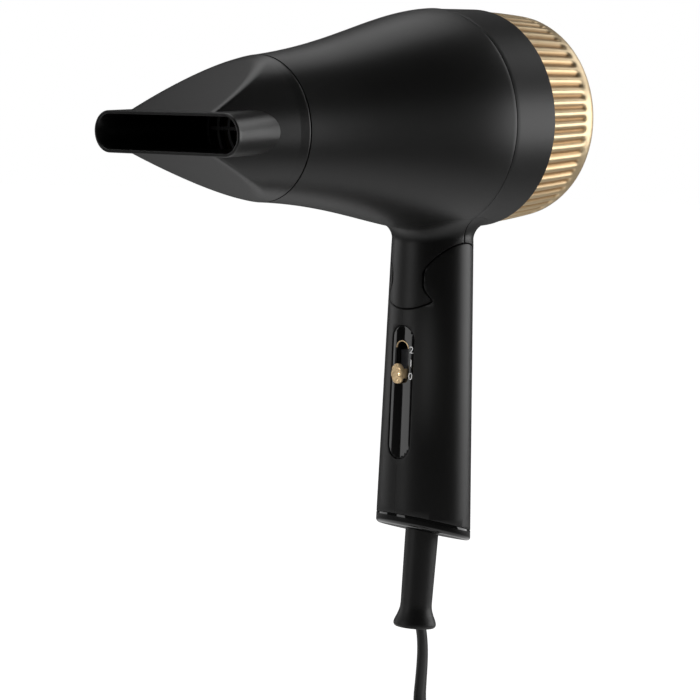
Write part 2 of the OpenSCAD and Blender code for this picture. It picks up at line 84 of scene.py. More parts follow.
def make_camera():
    data = bpy.data.cameras.new("camera")
    data.lens = CAMERA_LENS
    data.sensor_width = 36
    camera = bpy.data.objects.new("camera", data)
    bpy.context.scene.collection.objects.link(camera)
    back = Vector((math.sin(CAMERA_TURN) * math.cos(CAMERA_RISE),
                   -math.cos(CAMERA_TURN) * math.cos(CAMERA_RISE), math.sin(CAMERA_RISE)))
    right = (-back).cross(Vector((0, 0, 1))).normalized()
    up = right.cross(-back)
    across = math.cos(CAMERA_ROLL) * right + math.sin(CAMERA_ROLL) * up
    upward = math.cos(CAMERA_ROLL) * up - math.sin(CAMERA_ROLL) * right
    camera.matrix_world = Matrix.Translation(CAMERA_PLACE) @ Matrix(
        (across, upward, back)).transposed().to_4x4()
    bpy.context.scene.camera = camera
    return camera


camera = make_camera()
print("camera at", [round(v, 3) for v in camera.location], "lens", camera.data.lens)

# %% [markdown]
# ## Places that the pieces share
# The barrel leans back a few degrees, so its pieces are built along their own axis and then turned into
# place. The joint of the twist-off cover runs along that axis, so its direction is read from the frame,
# and the hinge's place is read from the fold joint. Everything is modelled in millimetres, and the
# helper that finishes a piece turns them into metres.

# %% Shared places
MM = 0.001
joints = {joint["name"]: joint for joint in frame["joints"]}
axis = Vector(joints["cover_twist"]["axis"]).normalized()
BARREL_TILT = math.atan2(axis.z, axis.x)
on_axis = Vector(joints["cover_twist"]["pos_m"])
BARREL_Z = (on_axis.z - on_axis.x * axis.z / axis.x) / MM
BARREL = Matrix.Translation((0, 0, BARREL_Z)) @ Matrix.Rotation(-BARREL_TILT, 4, "Y")
PIVOT_X = joints["fold"]["pos_m"][0] / MM
PIVOT_Z = joints["fold"]["pos_m"][2] / MM
PIVOT = Matrix.Translation((PIVOT_X, 0, PIVOT_Z))
print("barrel axis %.1f mm up, leaning %.1f degrees; hinge at %.1f, %.1f mm"
      % (BARREL_Z, math.degrees(BARREL_TILT), PIVOT_X, PIVOT_Z))

# %% [markdown]
# ## Helpers that shape a mesh
# Most pieces come from four ways of working: a profile turned about an axis, a sheet of quads bent into
# a tube by a rule, a flat outline given thickness, and one solid cut with another. Each way gets a
# short helper, so that a piece reads as a list of steps.

# %% Turned pieces
def turned(profile, steps=128, place=BARREL):
    """Turns a closed profile of (radius, level) points about X, and puts it in place."""
    bm = bmesh.new()
    verts = [bm.verts.new((level, 0, radius)) for radius, level in profile]
    edges = [bm.edges.new((a, b)) for a, b in zip(verts, verts[1:] + verts[:1])]
    bmesh.ops.spin(bm, geom=verts + edges, cent=(0, 0, 0), axis=(1, 0, 0),
                   angle=math.tau, steps=steps, use_merge=True)
    return closed(bm, place)


def closed(bm, place=None):
    """Merges doubles, fills open ends, points the faces outwards and puts the mesh in place."""
    bmesh.ops.remove_doubles(bm, verts=bm.verts, dist=0.0005)
    bmesh.ops.dissolve_degenerate(bm, edges=bm.edges, dist=0.0005)
    rims = [edge for edge in bm.edges if edge.is_boundary]
    if rims:
        bmesh.ops.holes_fill(bm, edges=rims, sides=0)
    bmesh.ops.recalc_face_normals(bm, faces=bm.faces)
    if place:
        bmesh.ops.transform(bm, matrix=place, verts=bm.verts)
    return bm


def arc(centre, radius, start, end, count):
    """Points round part of a circle, with angles in degrees."""
    for i in range(count + 1):
        angle = math.radians(start + (end - start) * i / count)
        yield (centre[0] + radius * math.cos(angle), centre[1] + radius * math.sin(angle))


def rounded(points, radius, count=4):
    """A closed outline with each corner cut by a small curve."""
    soft = []
    for i, point in enumerate(points):
        here = Vector(point)
        before = Vector(points[i - 1])
        after = Vector(points[(i + 1) % len(points)])
        reach = min(radius, (before - here).length * 0.45, (after - here).length * 0.45)
        start = here + (before - here).normalized() * reach
        end = here + (after - here).normalized() * reach
        for k in range(count + 1):
            t = k / count
            spot = start * (1 - t) ** 2 + here * 2 * t * (1 - t) + end * t * t
            soft.append((spot.x, spot.y))
    return soft


# %% Bent sheets, outlines and cuts
def lofted(around, rows, rule, place=None):
    """A tube of quads: the point at turn u and row v, both from 0 to 1, lies at rule(u, v)."""
    bm = bmesh.new()
    bmesh.ops.create_grid(bm, x_segments=around, y_segments=rows, size=0.5)
    for vert in bm.verts:
        vert.co = rule(vert.co.x + 0.5, vert.co.y + 0.5)
    return closed(bm, place)


def slab(outline, low, high, place=None):
    """An outline of (x, z) points given thickness along Y, from low to high."""
    bm = bmesh.new()
    verts = [bm.verts.new((x, low, z)) for x, z in outline]
    face = bm.faces.new(verts)
    grown = bmesh.ops.extrude_face_region(bm, geom=[face])
    moved = [item for item in grown["geom"] if isinstance(item, bmesh.types.BMVert)]
    bmesh.ops.translate(bm, vec=(0, high - low, 0), verts=moved)
    bmesh.ops.recalc_face_normals(bm, faces=bm.faces)
    if place:
        bmesh.ops.transform(bm, matrix=place, verts=bm.verts)
    return bm


def block(low, high, place=None):
    """A plain block between two corners, used as a cutter."""
    bm = bmesh.new()
    bmesh.ops.create_cube(bm, size=1)
    low, high = Vector(low), Vector(high)
    bmesh.ops.scale(bm, vec=high - low, verts=bm.verts)
    bmesh.ops.translate(bm, vec=(low + high) / 2, verts=bm.verts)
    if place:
        bmesh.ops.transform(bm, matrix=place, verts=bm.verts)
    return bm


def scratch_object(bm):
    mesh = bpy.data.meshes.new("scratch")
    bm.to_mesh(mesh)
    bm.free()
    thing = bpy.data.objects.new("scratch", mesh)
    bpy.context.scene.collection.objects.link(thing)
    return thing


def combined(bm, tool, operation):
    """The mesh after a Boolean modifier: DIFFERENCE cuts the tool away, INTERSECT keeps the overlap."""
    target, other = scratch_object(bm), scratch_object(tool)
    step = target.modifiers.new("cut", "BOOLEAN")
    step.object = other
    step.operation = operation
    step.solver = "EXACT"
    result = bmesh.new()
    result.from_mesh(target.evaluated_get(bpy.context.evaluated_depsgraph_get()).to_mesh())
    for thing in (target, other):
        mesh = thing.data
        bpy.data.objects.remove(thing)
        bpy.data.meshes.remove(mesh)
    bmesh.ops.remove_doubles(result, verts=result.verts, dist=0.0005)
    return result


def cut(bm, *tools):
    for tool in tools:
        bm = combined(bm, tool, "DIFFERENCE")
    return bm


def joined(bm, *others):
    """Several closed solids in one mesh."""
    for other in others:
        mesh = bpy.data.meshes.new("scratch")
        other.to_mesh(mesh)
        other.free()
        bm.from_mesh(mesh)
        bpy.data.meshes.remove(mesh)
    return bm


def soften(bm, width, sharp=40, segments=3, wanted=None):
    """Rounds the sharp edges, or those that wanted() picks."""
    bmesh.ops.remove_doubles(bm, verts=bm.verts, dist=width * 0.3)
    bmesh.ops.dissolve_degenerate(bm, edges=bm.edges, dist=width * 0.1)
    edges = [edge for edge in bm.edges if edge.is_manifold
             and edge.calc_face_angle() > math.radians(sharp) and (not wanted or wanted(edge))]
    bmesh.ops.bevel(bm, geom=edges, offset=width, offset_type="OFFSET", segments=segments,
                    profile=0.5, affect="EDGES", material=-1, clamp_overlap=False)
    return bm


# %% Finishing a piece
def piece(name, bm, finish, body, stands_for=(), sharp=35):
    """Turns the mesh into a named object in metres, smooth up to its sharp edges."""
    bmesh.ops.scale(bm, vec=(MM, MM, MM), verts=bm.verts)
    for face in bm.faces:
        face.smooth = True
    for edge in bm.edges:
        edge.smooth = edge.is_manifold and edge.calc_face_angle() < math.radians(sharp)
    mesh = bpy.data.meshes.new(name)
    bm.to_mesh(mesh)
    bm.free()
    mesh.materials.append(finish)
    made = bpy.data.objects.new(name, mesh)
    bpy.context.scene.collection.objects.link(made)
    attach(made, body)
    if stands_for:
        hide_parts(*stands_for)
    print(f"{name}: {len(mesh.polygons)} faces")
    return made


print("helpers are ready")

# %% [markdown]
# ## A small language for finishes
# A finish is a tree of shader nodes. Building it node by node is long, so a small class wraps a socket
# and lets ordinary arithmetic add the Math nodes, and one method makes every other node: its type, its
# settings, then the values or links of its sockets.

# %% Signals and the finish maker
class Signal:
    """A shader socket that takes part in Python arithmetic."""

    def __init__(self, maker, socket):
        self.maker = maker
        self.socket = socket

    def math(self, operation, first, second):
        return self.maker.node("Math", {"operation": operation}, {0: first, 1: second})

    def __add__(self, other):
        return self.math("ADD", self, other)

    def __sub__(self, other):
        return self.math("SUBTRACT", self, other)

    def __rsub__(self, other):
        return self.math("SUBTRACT", other, self)

    def __mul__(self, other):
        return self.math("MULTIPLY", self, other)

    def __gt__(self, other):
        return self.math("GREATER_THAN", self, other)

    __radd__ = __add__
    __rmul__ = __mul__


class Finish:
    """A material with a Principled shader and short ways to vary it."""

    def __init__(self, name, **constants):
        self.material = bpy.data.materials.new(name)
        self.material.use_nodes = True
        self.tree = self.material.node_tree
        self.shader = self.tree.nodes["Principled BSDF"]
        for socket, value in constants.items():
            self.shader.inputs[socket.replace("_", " ")].default_value = value

    def node(self, kind, settings, inputs, output=0):
        made = self.tree.nodes.new("ShaderNode" + kind)
        for key, value in settings.items():
            setattr(made, key, value)
        for key, value in inputs.items():
            if isinstance(value, Signal):
                self.tree.links.new(value.socket, made.inputs[key])
            else:
                made.inputs[key].default_value = value
        return Signal(self, made.outputs[output])

    def place(self):
        return self.node("TexCoord", {}, {}, "Object")

    def noise(self, per_metre, detail=3, stretch=(1, 1, 1)):
        """Soft noise from 0 to 1, that many features to the metre."""
        where = self.node("Mapping", {}, {"Vector": self.place(), "Scale": stretch})
        return self.node("TexNoise", {}, {"Vector": where, "Scale": per_metre, "Detail": detail}, 0)

    def tint(self, amount, dark, light):
        return self.node("Mix", {"data_type": "RGBA"}, {0: amount, 6: dark, 7: light}, 2)

    def drive(self, socket, signal):
        self.tree.links.new(signal.socket, self.shader.inputs[socket])

    def bump(self, height, depth, strength=1.0):
        """Raises the surface by height times depth, in metres."""
        self.drive("Normal", self.node("Bump", {}, {
            "Strength": strength, "Distance": depth, "Height": height}))


print("finish maker is ready")

# %% [markdown]
# ## The black finishes
# The casings and the handle are moulded plastic under a soft satin paint: nearly black, with a grain
# finer than a tenth of a millimetre that breaks up the light, and a faint unevenness from handling.
# The nozzle is the same plastic without the paint, a little glossier. The switch panel and the cap are
# polished, and the flexible parts are matt rubber. All of them are one recipe with other numbers.

# %% Black plastics
def moulded(name, colour, rough, grain, depth, coat=0.0, wear=0.06):
    """Plastic with a fine grain, a cloudy sheen and a slightly paler tone where it is handled."""
    finish = Finish(name, IOR=1.5, Coat_Weight=coat, Coat_Roughness=0.03)
    cloud = finish.noise(38, 4)
    speck = finish.noise(grain, 2)
    paler = tuple(min(1.0, part * 1.5 + 0.002) for part in colour)
    finish.drive("Base Color", finish.tint(cloud, (*colour, 1), (*paler, 1)))
    finish.drive("Roughness", rough + (cloud - 0.5) * wear + (speck - 0.5) * wear)
    finish.bump(speck, depth)
    return finish.material


SATIN_BLACK = moulded("satin_black_paint", (0.0032, 0.0031, 0.0029), 0.40, 5200, 0.000012)
NOZZLE_BLACK = moulded("nozzle_black_plastic", (0.0036, 0.0035, 0.0033), 0.34, 5200, 0.000010)
GLOSS_BLACK = moulded("polished_black_plastic", (0.002, 0.002, 0.002), 0.07, 900, 0.0000015,
                      coat=0.4, wear=0.02)
FLEX_BLACK = moulded("flexible_black_rubber", (0.0045, 0.0044, 0.0042), 0.46, 3800, 0.000016)
DARK_NYLON = moulded("dark_nylon", (0.02, 0.02, 0.022), 0.5, 3000, 0.00002)
print("black finishes: 5")

# %% [markdown]
# ## The gold finish
# The rear cover and the slider's knob are plated plastic, a pale champagne gold with a fine satin
# grain. A metal's colour sits in its reflection, so Metallic is 1 and Base Color is the gold itself.
# A slow noise shifts it between a warm and a pale tone, and the grain goes into the bump.

# %% Metals
def metal(name, dark, light, rough, grain, depth, stretch=(1, 1, 1), metallic=1.0):
    finish = Finish(name, Metallic=metallic)
    cloud = finish.noise(90, 3)
    brushed = finish.noise(grain, 3, stretch)
    finish.drive("Base Color", finish.tint(cloud, (*dark, 1), (*light, 1)))
    finish.drive("Roughness", rough + (brushed - 0.5) * 0.12)
    finish.bump(brushed, depth)
    return finish.material


GOLD = metal("champagne_gold_plating", (0.88, 0.62, 0.33), (0.97, 0.75, 0.46), 0.42, 2600, 0.00001,
             metallic=0.75)


def ribbed_gold():
    """The same plating on the ribs: bright on the crests, with painted shade down in the grooves, where the
    colour turns dark tan.
    """
    finish = Finish("champagne_gold_ribs", Metallic=0.75)
    depth = finish.node("Attribute", {"attribute_name": "groove"}, {}, 2)
    grain = finish.noise(2600, 3)
    cloud = finish.noise(90, 3)
    crest = finish.tint(cloud, (0.92, 0.68, 0.38, 1), (1.0, 0.82, 0.54, 1))
    # Painted shade: the deeper a point lies in a groove, the darker tan its colour.
    finish.drive("Base Color", finish.tint(depth, crest, (0.56, 0.34, 0.15, 1)))
    finish.drive("Roughness", 0.36 + depth * 0.14 + (grain - 0.5) * 0.12)
    finish.bump(grain, 0.00001)
    return finish.material


RIBBED_GOLD = ribbed_gold()
NICKEL = metal("nickel_plate", (0.62, 0.61, 0.58), (0.78, 0.77, 0.74), 0.2, 1800, 0.000005)
STEEL = metal("zinc_plated_steel", (0.45, 0.45, 0.46), (0.62, 0.62, 0.62), 0.33, 2200, 0.00001)
BRASS = metal("spring_brass", (0.6, 0.45, 0.2), (0.75, 0.58, 0.3), 0.3, 2000, 0.00001)
HEATER_WIRE = metal("oxidised_heater_wire", (0.12, 0.1, 0.09), (0.26, 0.22, 0.2), 0.5, 4000, 0.00002)
MESH_STEEL = metal("mesh_steel", (0.3, 0.3, 0.3), (0.42, 0.42, 0.42), 0.38, 3000, 0.00001)
print("metals: 6")

# %% [markdown]
# ## Finishes of the inner parts and the tie
# Mica is a flaky, pearly mineral board, the circuit board is green lacquer over woven glass, the leads
# have soft sleeves, and the tie is hook-and-loop tape whose pile is a fine noise over a woven bump.

# %% Inner and soft finishes
def layered(name, dark, light, rough, grain, depth, stretch=(1, 1, 1)):
    finish = Finish(name)
    flakes = finish.noise(grain, 5, stretch)
    finish.drive("Base Color", finish.tint(flakes, (*dark, 1), (*light, 1)))
    finish.drive("Roughness", rough + (flakes - 0.5) * 0.2)
    finish.bump(flakes, depth)
    return finish.material


def woven(name, dark, light, per_metre, depth):
    """Tape: two crossed waves for the threads, with fuzz from a fine noise."""
    finish = Finish(name)
    warp = finish.node("TexWave", {"bands_direction": "X"},
                       {"Vector": finish.place(), "Scale": per_metre, "Distortion": 1.5})
    weft = finish.node("TexWave", {"bands_direction": "Y"},
                       {"Vector": finish.place(), "Scale": per_metre, "Distortion": 1.5})
    fuzz = finish.noise(2500, 3)
    threads = warp * 0.5 + weft * 0.5
    finish.drive("Base Color", finish.tint(threads * fuzz, (*dark, 1), (*light, 1)))
    finish.drive("Roughness", 0.8 + fuzz * 0.15)
    finish.bump(threads + fuzz * 0.6, depth)
    return finish.material


MICA = layered("mica_board", (0.45, 0.36, 0.22), (0.7, 0.62, 0.45), 0.45, 300, 0.00004, (1, 1, 0.2))
BOARD_GREEN = layered("circuit_board_lacquer", (0.01, 0.09, 0.03), (0.03, 0.2, 0.07), 0.3, 1200, 0.00001)
WIRE_SLEEVE = layered("wire_sleeve", (0.06, 0.02, 0.01), (0.16, 0.06, 0.03), 0.5, 800, 0.00001)
TIE_FABRIC = woven("hook_and_loop_tape", (0.006, 0.006, 0.006), (0.035, 0.035, 0.035), 260, 0.0001)
MARK_PAINT = layered("printed_marks", (0.8, 0.8, 0.8), (0.92, 0.92, 0.92), 0.5, 4000, 0.000003)
print("inner and soft finishes: 5")

# %% [markdown]
# ## The cord
# The lead is a flat two-core cord, 6 mm wide and 3.8 mm thick, about 1.8 m long. It hangs out of the
# strain relief, bends onto the surface below and is wound into a small coil, which is how a travel
# dryer's lead is put away. A curve with a bevel could carry it, but a flat cord has to choose which way
# its width lies, so it is a tube of quads with its own width direction along a path of points.
# The loose stretches are listed points, and the coil's turns are worked out by a loop.

# %% The cord's route
LEAD = [(-1.7, 0, -58), (-1.8, 0, -64), (-1, -0.6, -70), (0.2, -1.1, -76), (0.9, -1.1, -82),
        (1.3, -0.7, -88), (1.5, -0.2, -94), (1.5, 0, -100), (1.4, -1.1, -108.4), (0.8, -4.3, -116.2),
        (-0.5, -9.3, -122.8), (-2.9, -15.5, -127.9), (-6.4, -22, -131.1), (-10.9, -28.5, -132.2)]
TAIL = [(-45, -39.5, -138), (-53, -39.4, -137), (-61, -39.2, -135.9), (-68, -39, -135.5),
        (-74, -39, -135.5)]
COIL_CENTRE = Vector((-37.5, 0, 0))
CORD_WIDE = 6.0
CORD_THICK = 3.8
# Each turn's radius and height: over the top from the outside in, down the inside, and back out
OUTER, MIDDLE, INNER = 39.6, 35.5, 31.4
TOP, HALFWAY, BOTTOM = -132.2, -138.2, -144.2
TURNS = [(OUTER, TOP), (MIDDLE, TOP), (INNER, TOP), (INNER, HALFWAY), (INNER, BOTTOM),
         (OUTER, BOTTOM), (OUTER, HALFWAY)]
POINTS_PER_TURN = 36


def eased(t):
    t = min(1.0, max(0.0, t))
    return t * t * (3 - 2 * t)


def coil_points(start_angle, end_angle):
    """Winds clockwise, changing from one turn's place to the next in its last sixth."""
    swept = len(TURNS) * 360 + start_angle - end_angle
    count = round(swept / 360 * POINTS_PER_TURN)
    for i in range(count + 1):
        turned_by = swept * i / count
        turn = min(int(turned_by // 360), len(TURNS) - 1)
        following = min(turn + 1, len(TURNS) - 1)
        change = eased((turned_by / 360 - turn - 0.83) / 0.17)
        radius = TURNS[turn][0] * (1 - change) + TURNS[following][0] * change
        height = TURNS[turn][1] * (1 - change) + TURNS[following][1] * change
        angle = math.radians(start_angle - turned_by)
        yield COIL_CENTRE + Vector((radius * math.cos(angle), radius * math.sin(angle), height))


def through(points, per_span):
    """A smooth line through the points, with that many steps between two of them."""
    points = [Vector(point) for point in points]
    line = []
    for i in range(len(points) - 1):
        before = points[max(i - 1, 0)]
        after = points[min(i + 2, len(points) - 1)]
        a, b = points[i], points[i + 1]
        for k in range(per_span):
            t = k / per_span
            line.append(0.5 * ((2 * a) + (b - before) * t
                               + (2 * before - 5 * a + 4 * b - after) * t * t
                               + (3 * a - before - 3 * b + after) * t * t * t))
    return line + [points[-1]]


wound = list(coil_points(-57, -90))
cord_path = through(LEAD + wound[:2], 3)[:-3] + wound[1:] + through([wound[-1]] + TAIL, 3)[1:]
cord_length = sum((b - a).length for a, b in zip(cord_path, cord_path[1:]))
print("cord: %d points, %.0f mm long" % (len(cord_path), cord_length))

# %% [markdown]
# The width direction follows the cord. Where it hangs it faces the front, and in the coil it stands on
# edge, because a flat cord only bends easily across its thin side. Between the two it twists slowly.
# The section is an oval with a shallow groove along the middle, where the two cores meet.

# %% The cord's tube
def cord_frames(path):
    """A width and a thickness direction at each point of the path."""
    coil_from = (path.index(wound[1])) / len(path)
    coil_to = (path.index(wound[-1])) / len(path)
    for i, spot in enumerate(path):
        ahead = (path[min(i + 1, len(path) - 1)] - path[max(i - 1, 0)]).normalized()
        share = i / len(path)
        upright = eased((share - coil_from) / 0.08) * (1 - eased((share - coil_to + 0.01) / 0.04))
        if share < coil_from:
            level = Vector((1, 1 - min(i / 24, 1), 0)).lerp(Vector((0.6, -0.8, 0)), eased((i - 20) / 18))
        else:
            level = Vector((0, 0, 1)).cross(ahead)
            level = level if level.dot(Vector((0.6, -0.8, 0))) > 0 or share > coil_from + 0.02 else -level
        wide = level.normalized().lerp(Vector((0, 0, 1)), upright)
        wide = (wide - ahead * wide.dot(ahead)).normalized()
        yield wide, ahead.cross(wide)


def cord_section(u):
    angle = math.tau * u
    across = CORD_WIDE / 2 * math.cos(angle)
    groove = 1 - 0.16 * math.exp(-(across / 0.55) ** 2)
    return across, CORD_THICK / 2 * math.sin(angle) * groove


def make_cord():
    frames = list(cord_frames(cord_path))
    last = len(cord_path) - 1

    def rule(u, v):
        i = round(v * last)
        across, up = cord_section(u)
        return cord_path[i] + frames[i][0] * across + frames[i][1] * up

    return lofted(24, last, rule)


cord = piece("mains_lead", make_cord(), FLEX_BLACK, "handle",
             ("cord", "cord_coil", "cord_tail"))

# %% [markdown]
# ## The plug, the tie and the strain relief
# The plug is turned from one profile, like the soft grip on the real one, with rings for the fingers on
# its neck. Its face is a wider flange with two flat sides. The pins are turned with a domed end.

# %% The plug
PLUG_X, PLUG_Y, PLUG_Z = -124, -39, -135.5
PLUG = Matrix.Translation((PLUG_X, PLUG_Y, PLUG_Z))
PIN_HALF = 9.5


def make_plug():
    flange = turned(rounded([(0, 0.6), (0.1, 0), (18.2, 0), (18.2, 14.8), (12, 14.8), (0, 14)], 1.6),
                    96, None)
    for side in (-1, 1):
        geom = flange.verts[:] + flange.edges[:] + flange.faces[:]
        bmesh.ops.bisect_plane(flange, geom=geom, plane_co=(0, 0, 12.4 * side),
                               plane_no=(0, 0, side), clear_outer=True)
    flange = closed(flange)
    soften(flange, 1.0, 50, 3)
    grip = [(0, 3), (11.8, 3), (12.3, 8), (12.1, 12), (10.9, 19), (9.4, 27)]
    for ring in range(4):
        level = 30 + 2.6 * ring
        grip += [(8.6 - 0.5 * ring, level), (7.4 - 0.5 * ring, level + 0.5),
                 (7.4 - 0.5 * ring, level + 1.3), (8.4 - 0.5 * ring, level + 1.8)]
    grip += [(5.9, 41.5), (4.8, 49.4), (4.2, 50), (0, 50)]
    return joined(flange, turned(rounded(grip, 0.6, 3), 72, None))


def make_pins():
    pin = [(0, -17.8), (1.3, -17.8), (2.1, -17), (2.4, -15.6), (2.4, 2), (0, 2)]
    pins = [turned(rounded(pin, 0.5), 32, Matrix.Translation((0, side * PIN_HALF, 0)))
            for side in (-1, 1)]
    return joined(*pins)


def moved(bm, place):
    bmesh.ops.transform(bm, matrix=place, verts=bm.verts)
    return bm


plug = piece("plug", moved(make_plug(), PLUG), FLEX_BLACK, "handle", ("plug_body",))
pins = piece("plug_pin_pair", moved(make_pins(), PLUG), NICKEL, "handle", ("plug_pins",))

# %% [markdown]
# The tie is a strap of hook-and-loop tape round the coil. Its side view is a loop with rounded corners,
# so the outline is drawn once, rounded, and its thickness comes from a second, smaller outline.

# %% The tie
def make_tie():
    low, high = (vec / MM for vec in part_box("cord_tie"))
    outer = [(low.y, low.z), (high.y, low.z), (high.y, high.z), (low.y, high.z)]
    inner = [(low.y + 0.8, low.z + 0.8), (high.y - 0.8, low.z + 0.8),
             (high.y - 0.8, high.z - 0.8), (low.y + 0.8, high.z - 0.8)]
    swap = Matrix(((0, 1, 0, 0), (1, 0, 0, 0), (0, 0, 1, 0), (0, 0, 0, 1)))
    strap = slab(rounded(outer, 3, 5), low.x, high.x, swap)
    bmesh.ops.recalc_face_normals(strap, faces=strap.faces)
    hole = slab(rounded(inner, 2.4, 5), low.x - 1, high.x + 1, swap)
    bmesh.ops.recalc_face_normals(hole, faces=hole.faces)
    strap = cut(strap, hole)
    flap = block((low.x + 0.4, low.y + 4, high.z - 0.9), (high.x - 0.4, high.y - 5, high.z - 0.05))
    return soften(joined(strap, flap), 0.2, 50, 2)


tie = piece("lead_tie", make_tie(), TIE_FABRIC, "handle", ("cord_tie",))

# %% [markdown]
# The strain relief is a tapered rubber sleeve that ends in a small bell. It leans a little, as the cord
# pulls it, so it is turned about its own axis and then tilted into place.

# %% The strain relief
RELIEF = Matrix.Translation((-0.4, 0, -38.3)) @ Matrix.Rotation(math.radians(3.9), 4, "Y") \
    @ Matrix.Rotation(math.radians(90), 4, "Y")
END_Z = -34.3
END_SLANT = math.radians(15)
CAP_HEIGHT = 3.9


def slanted_plane(drop):
    """A point and the upward normal of the slanted end, that far below the handle's shell."""
    return Vector((0, 0, END_Z - drop)), Vector((math.sin(END_SLANT), 0, math.cos(END_SLANT)))


def trimmed(bm, point, normal):
    """Cuts off what lies on the normal's side of a plane, and closes the cut."""
    geom = bm.verts[:] + bm.edges[:] + bm.faces[:]
    bmesh.ops.bisect_plane(bm, geom=geom, plane_co=point, plane_no=normal, clear_outer=True)
    return closed(bm)


def make_relief():
    """The profile's level is the distance down from the end cap."""
    profile = [(0, -5), (6, -5), (6, 2.8), (5.85, 14), (5.7, 26)]
    profile += [(5.8, 27.6), (6.15, 29), (6.75, 30.6), (7.4, 32), (7.75, 33.1), (7.7, 34), (7.2, 34.6)]
    profile += [(5.4, 34.7), (4.4, 31), (3.4, 28), (0, 28)]
    sleeve = trimmed(turned(rounded(profile, 0.4, 3), 72, RELIEF), *slanted_plane(CAP_HEIGHT + 0.15))
    stem = turned([(0, -5), (4.9, -5), (4.9, 4), (0, 4)], 64, RELIEF)
    return joined(sleeve, stem)


relief = piece("strain_relief_sleeve", make_relief(), FLEX_BLACK, "handle",
               ("strain_relief",), 60)
exit_point = [part * MM for part in cord_path[0]]
[spot * MM for spot in cord_path]
print("lead declared, %.2f m" % (cord_length * MM))

# %% [markdown]
# ## The barrel
# The barrel's two casings are turned shells. The front one's outline is a single smooth curve from the
# narrow outlet to the widest ring, the rear one is almost straight, and both have a wall of 2 mm.
# Their meeting edges are rounded a little and stand 0.2 mm apart, which reads as a fine dark line.

# %% The barrel's outline
OUTLET_R = 24.4
BARREL_R = 39.5
WALL = 2.0
NOZZLE_S = -87.5
JOINT_S = -2.5
COVER_S = 19.0
SPIGOT_R = 21.5
CURVE = [Vector((OUTLET_R, NOZZLE_S)), Vector((OUTLET_R + 3.6, NOZZLE_S + 40)),
         Vector((BARREL_R - 0.65, JOINT_S - 22)), Vector((BARREL_R, JOINT_S))]


def front_line(t):
    a, b, c, d = CURVE
    return (a * (1 - t) ** 3 + b * 3 * t * (1 - t) ** 2 + c * 3 * t * t * (1 - t) + d * t ** 3)


def barrel_radius(level):
    """The barrel's outer radius at a level along its axis."""
    if level >= JOINT_S:
        return BARREL_R - 0.2 - 0.3 * (level - JOINT_S) / (COVER_S - JOINT_S)
    low, high = 0.0, 1.0
    for _ in range(30):
        middle = (low + high) / 2
        low, high = (middle, high) if front_line(middle).y < level else (low, middle)
    return front_line(low).x


def make_front_shell():
    steps = 40
    outer = [tuple(front_line(i / steps)) for i in range(steps)]
    outer += [(BARREL_R, JOINT_S - 0.2), (BARREL_R - 0.04, JOINT_S - 0.05), (BARREL_R - 0.2, JOINT_S)]
    inner = [(radius - WALL, level) for radius, level in reversed(outer[1:-3])]
    spigot = [(OUTLET_R - WALL, NOZZLE_S + 2), (SPIGOT_R - 1.5, NOZZLE_S), (SPIGOT_R - 1.5, NOZZLE_S - 6.5),
              (SPIGOT_R, NOZZLE_S - 6.5), (SPIGOT_R, NOZZLE_S)]
    return turned(outer + [(BARREL_R - WALL, JOINT_S)] + inner + spigot
                  + [(OUTLET_R - 0.3, NOZZLE_S), (OUTLET_R - 0.05, NOZZLE_S + 0.15)], 160)


def make_rear_shell():
    start = JOINT_S + 0.45
    profile = [(BARREL_R - 0.4, start), (BARREL_R - 0.24, start + 0.05), (BARREL_R - 0.2, start + 0.2)]
    profile += [(barrel_radius(level), level) for level in (0, 4, 8, 12, 16, COVER_S - 0.3)]
    profile += [(BARREL_R - 0.8, COVER_S), (32.9, COVER_S), (32.9, COVER_S - 2),
                (BARREL_R - WALL - 1.2, COVER_S - 2), (BARREL_R - WALL - 1.2, start - 1.8),
                (BARREL_R - WALL - 0.1, start - 1.8), (BARREL_R - WALL - 0.1, start)]
    collar = [(34.3, COVER_S - 1), (34.3, COVER_S + 9), (32.9, COVER_S + 9), (32.9, COVER_S - 1)]
    return joined(turned(profile, 160), turned(collar, 96))


print("barrel radius at the slider's end of the casing: %.1f mm" % barrel_radius(-30))

# %% [markdown]
# ## The handle's bar and the neck
# Handle and neck are cut from one tapered oval bar, so the joint between them closes without a step.
# Where the neck meets the barrel the real moulding has a soft fillet. A Boolean union would leave a
# crease there, so the neck's top rows follow a rule instead: each row moves outwards and upwards along
# a quarter circle that ends flat against the barrel's underside.

# %% The oval bar
BAR_TOP, BAR_LOW = 75.0, -50.0
DEPTH_TOP, DEPTH_LOW = 13.9, 15.8
WIDTH_TOP, WIDTH_LOW = 14.9, 18.7


def bar_half(z, inset=0.0):
    """Half depth (X) and half width (Y) of the bar at a height."""
    t = (BAR_TOP - z) / (BAR_TOP - BAR_LOW)
    return (DEPTH_TOP + (DEPTH_LOW - DEPTH_TOP) * t - inset, WIDTH_TOP + (WIDTH_LOW - WIDTH_TOP) * t - inset)


def bar(low, high, inset=0.0, rows=40, around=112):
    def rule(u, v):
        z = low + (high - low) * v
        depth, width = bar_half(z, inset)
        return Vector((depth * math.cos(math.tau * u), width * math.sin(math.tau * u), z))

    return lofted(around, rows, rule)


# %% The neck with its fillet
FILLET_R = 5.0
FILLET_ROWS = 12
NECK_LOW = PIVOT_Z - 20


def underside(x, y):
    """Height of the barrel's lower surface above a point."""
    level, drop = x, 0.0
    for _ in range(6):
        radius = barrel_radius(max(level, NOZZLE_S))
        drop = -math.sqrt(max(radius * radius - y * y, 0))
        level = (x + drop * math.sin(BARREL_TILT)) / math.cos(BARREL_TILT)
    return BARREL_Z + level * math.sin(BARREL_TILT) + drop * math.cos(BARREL_TILT)


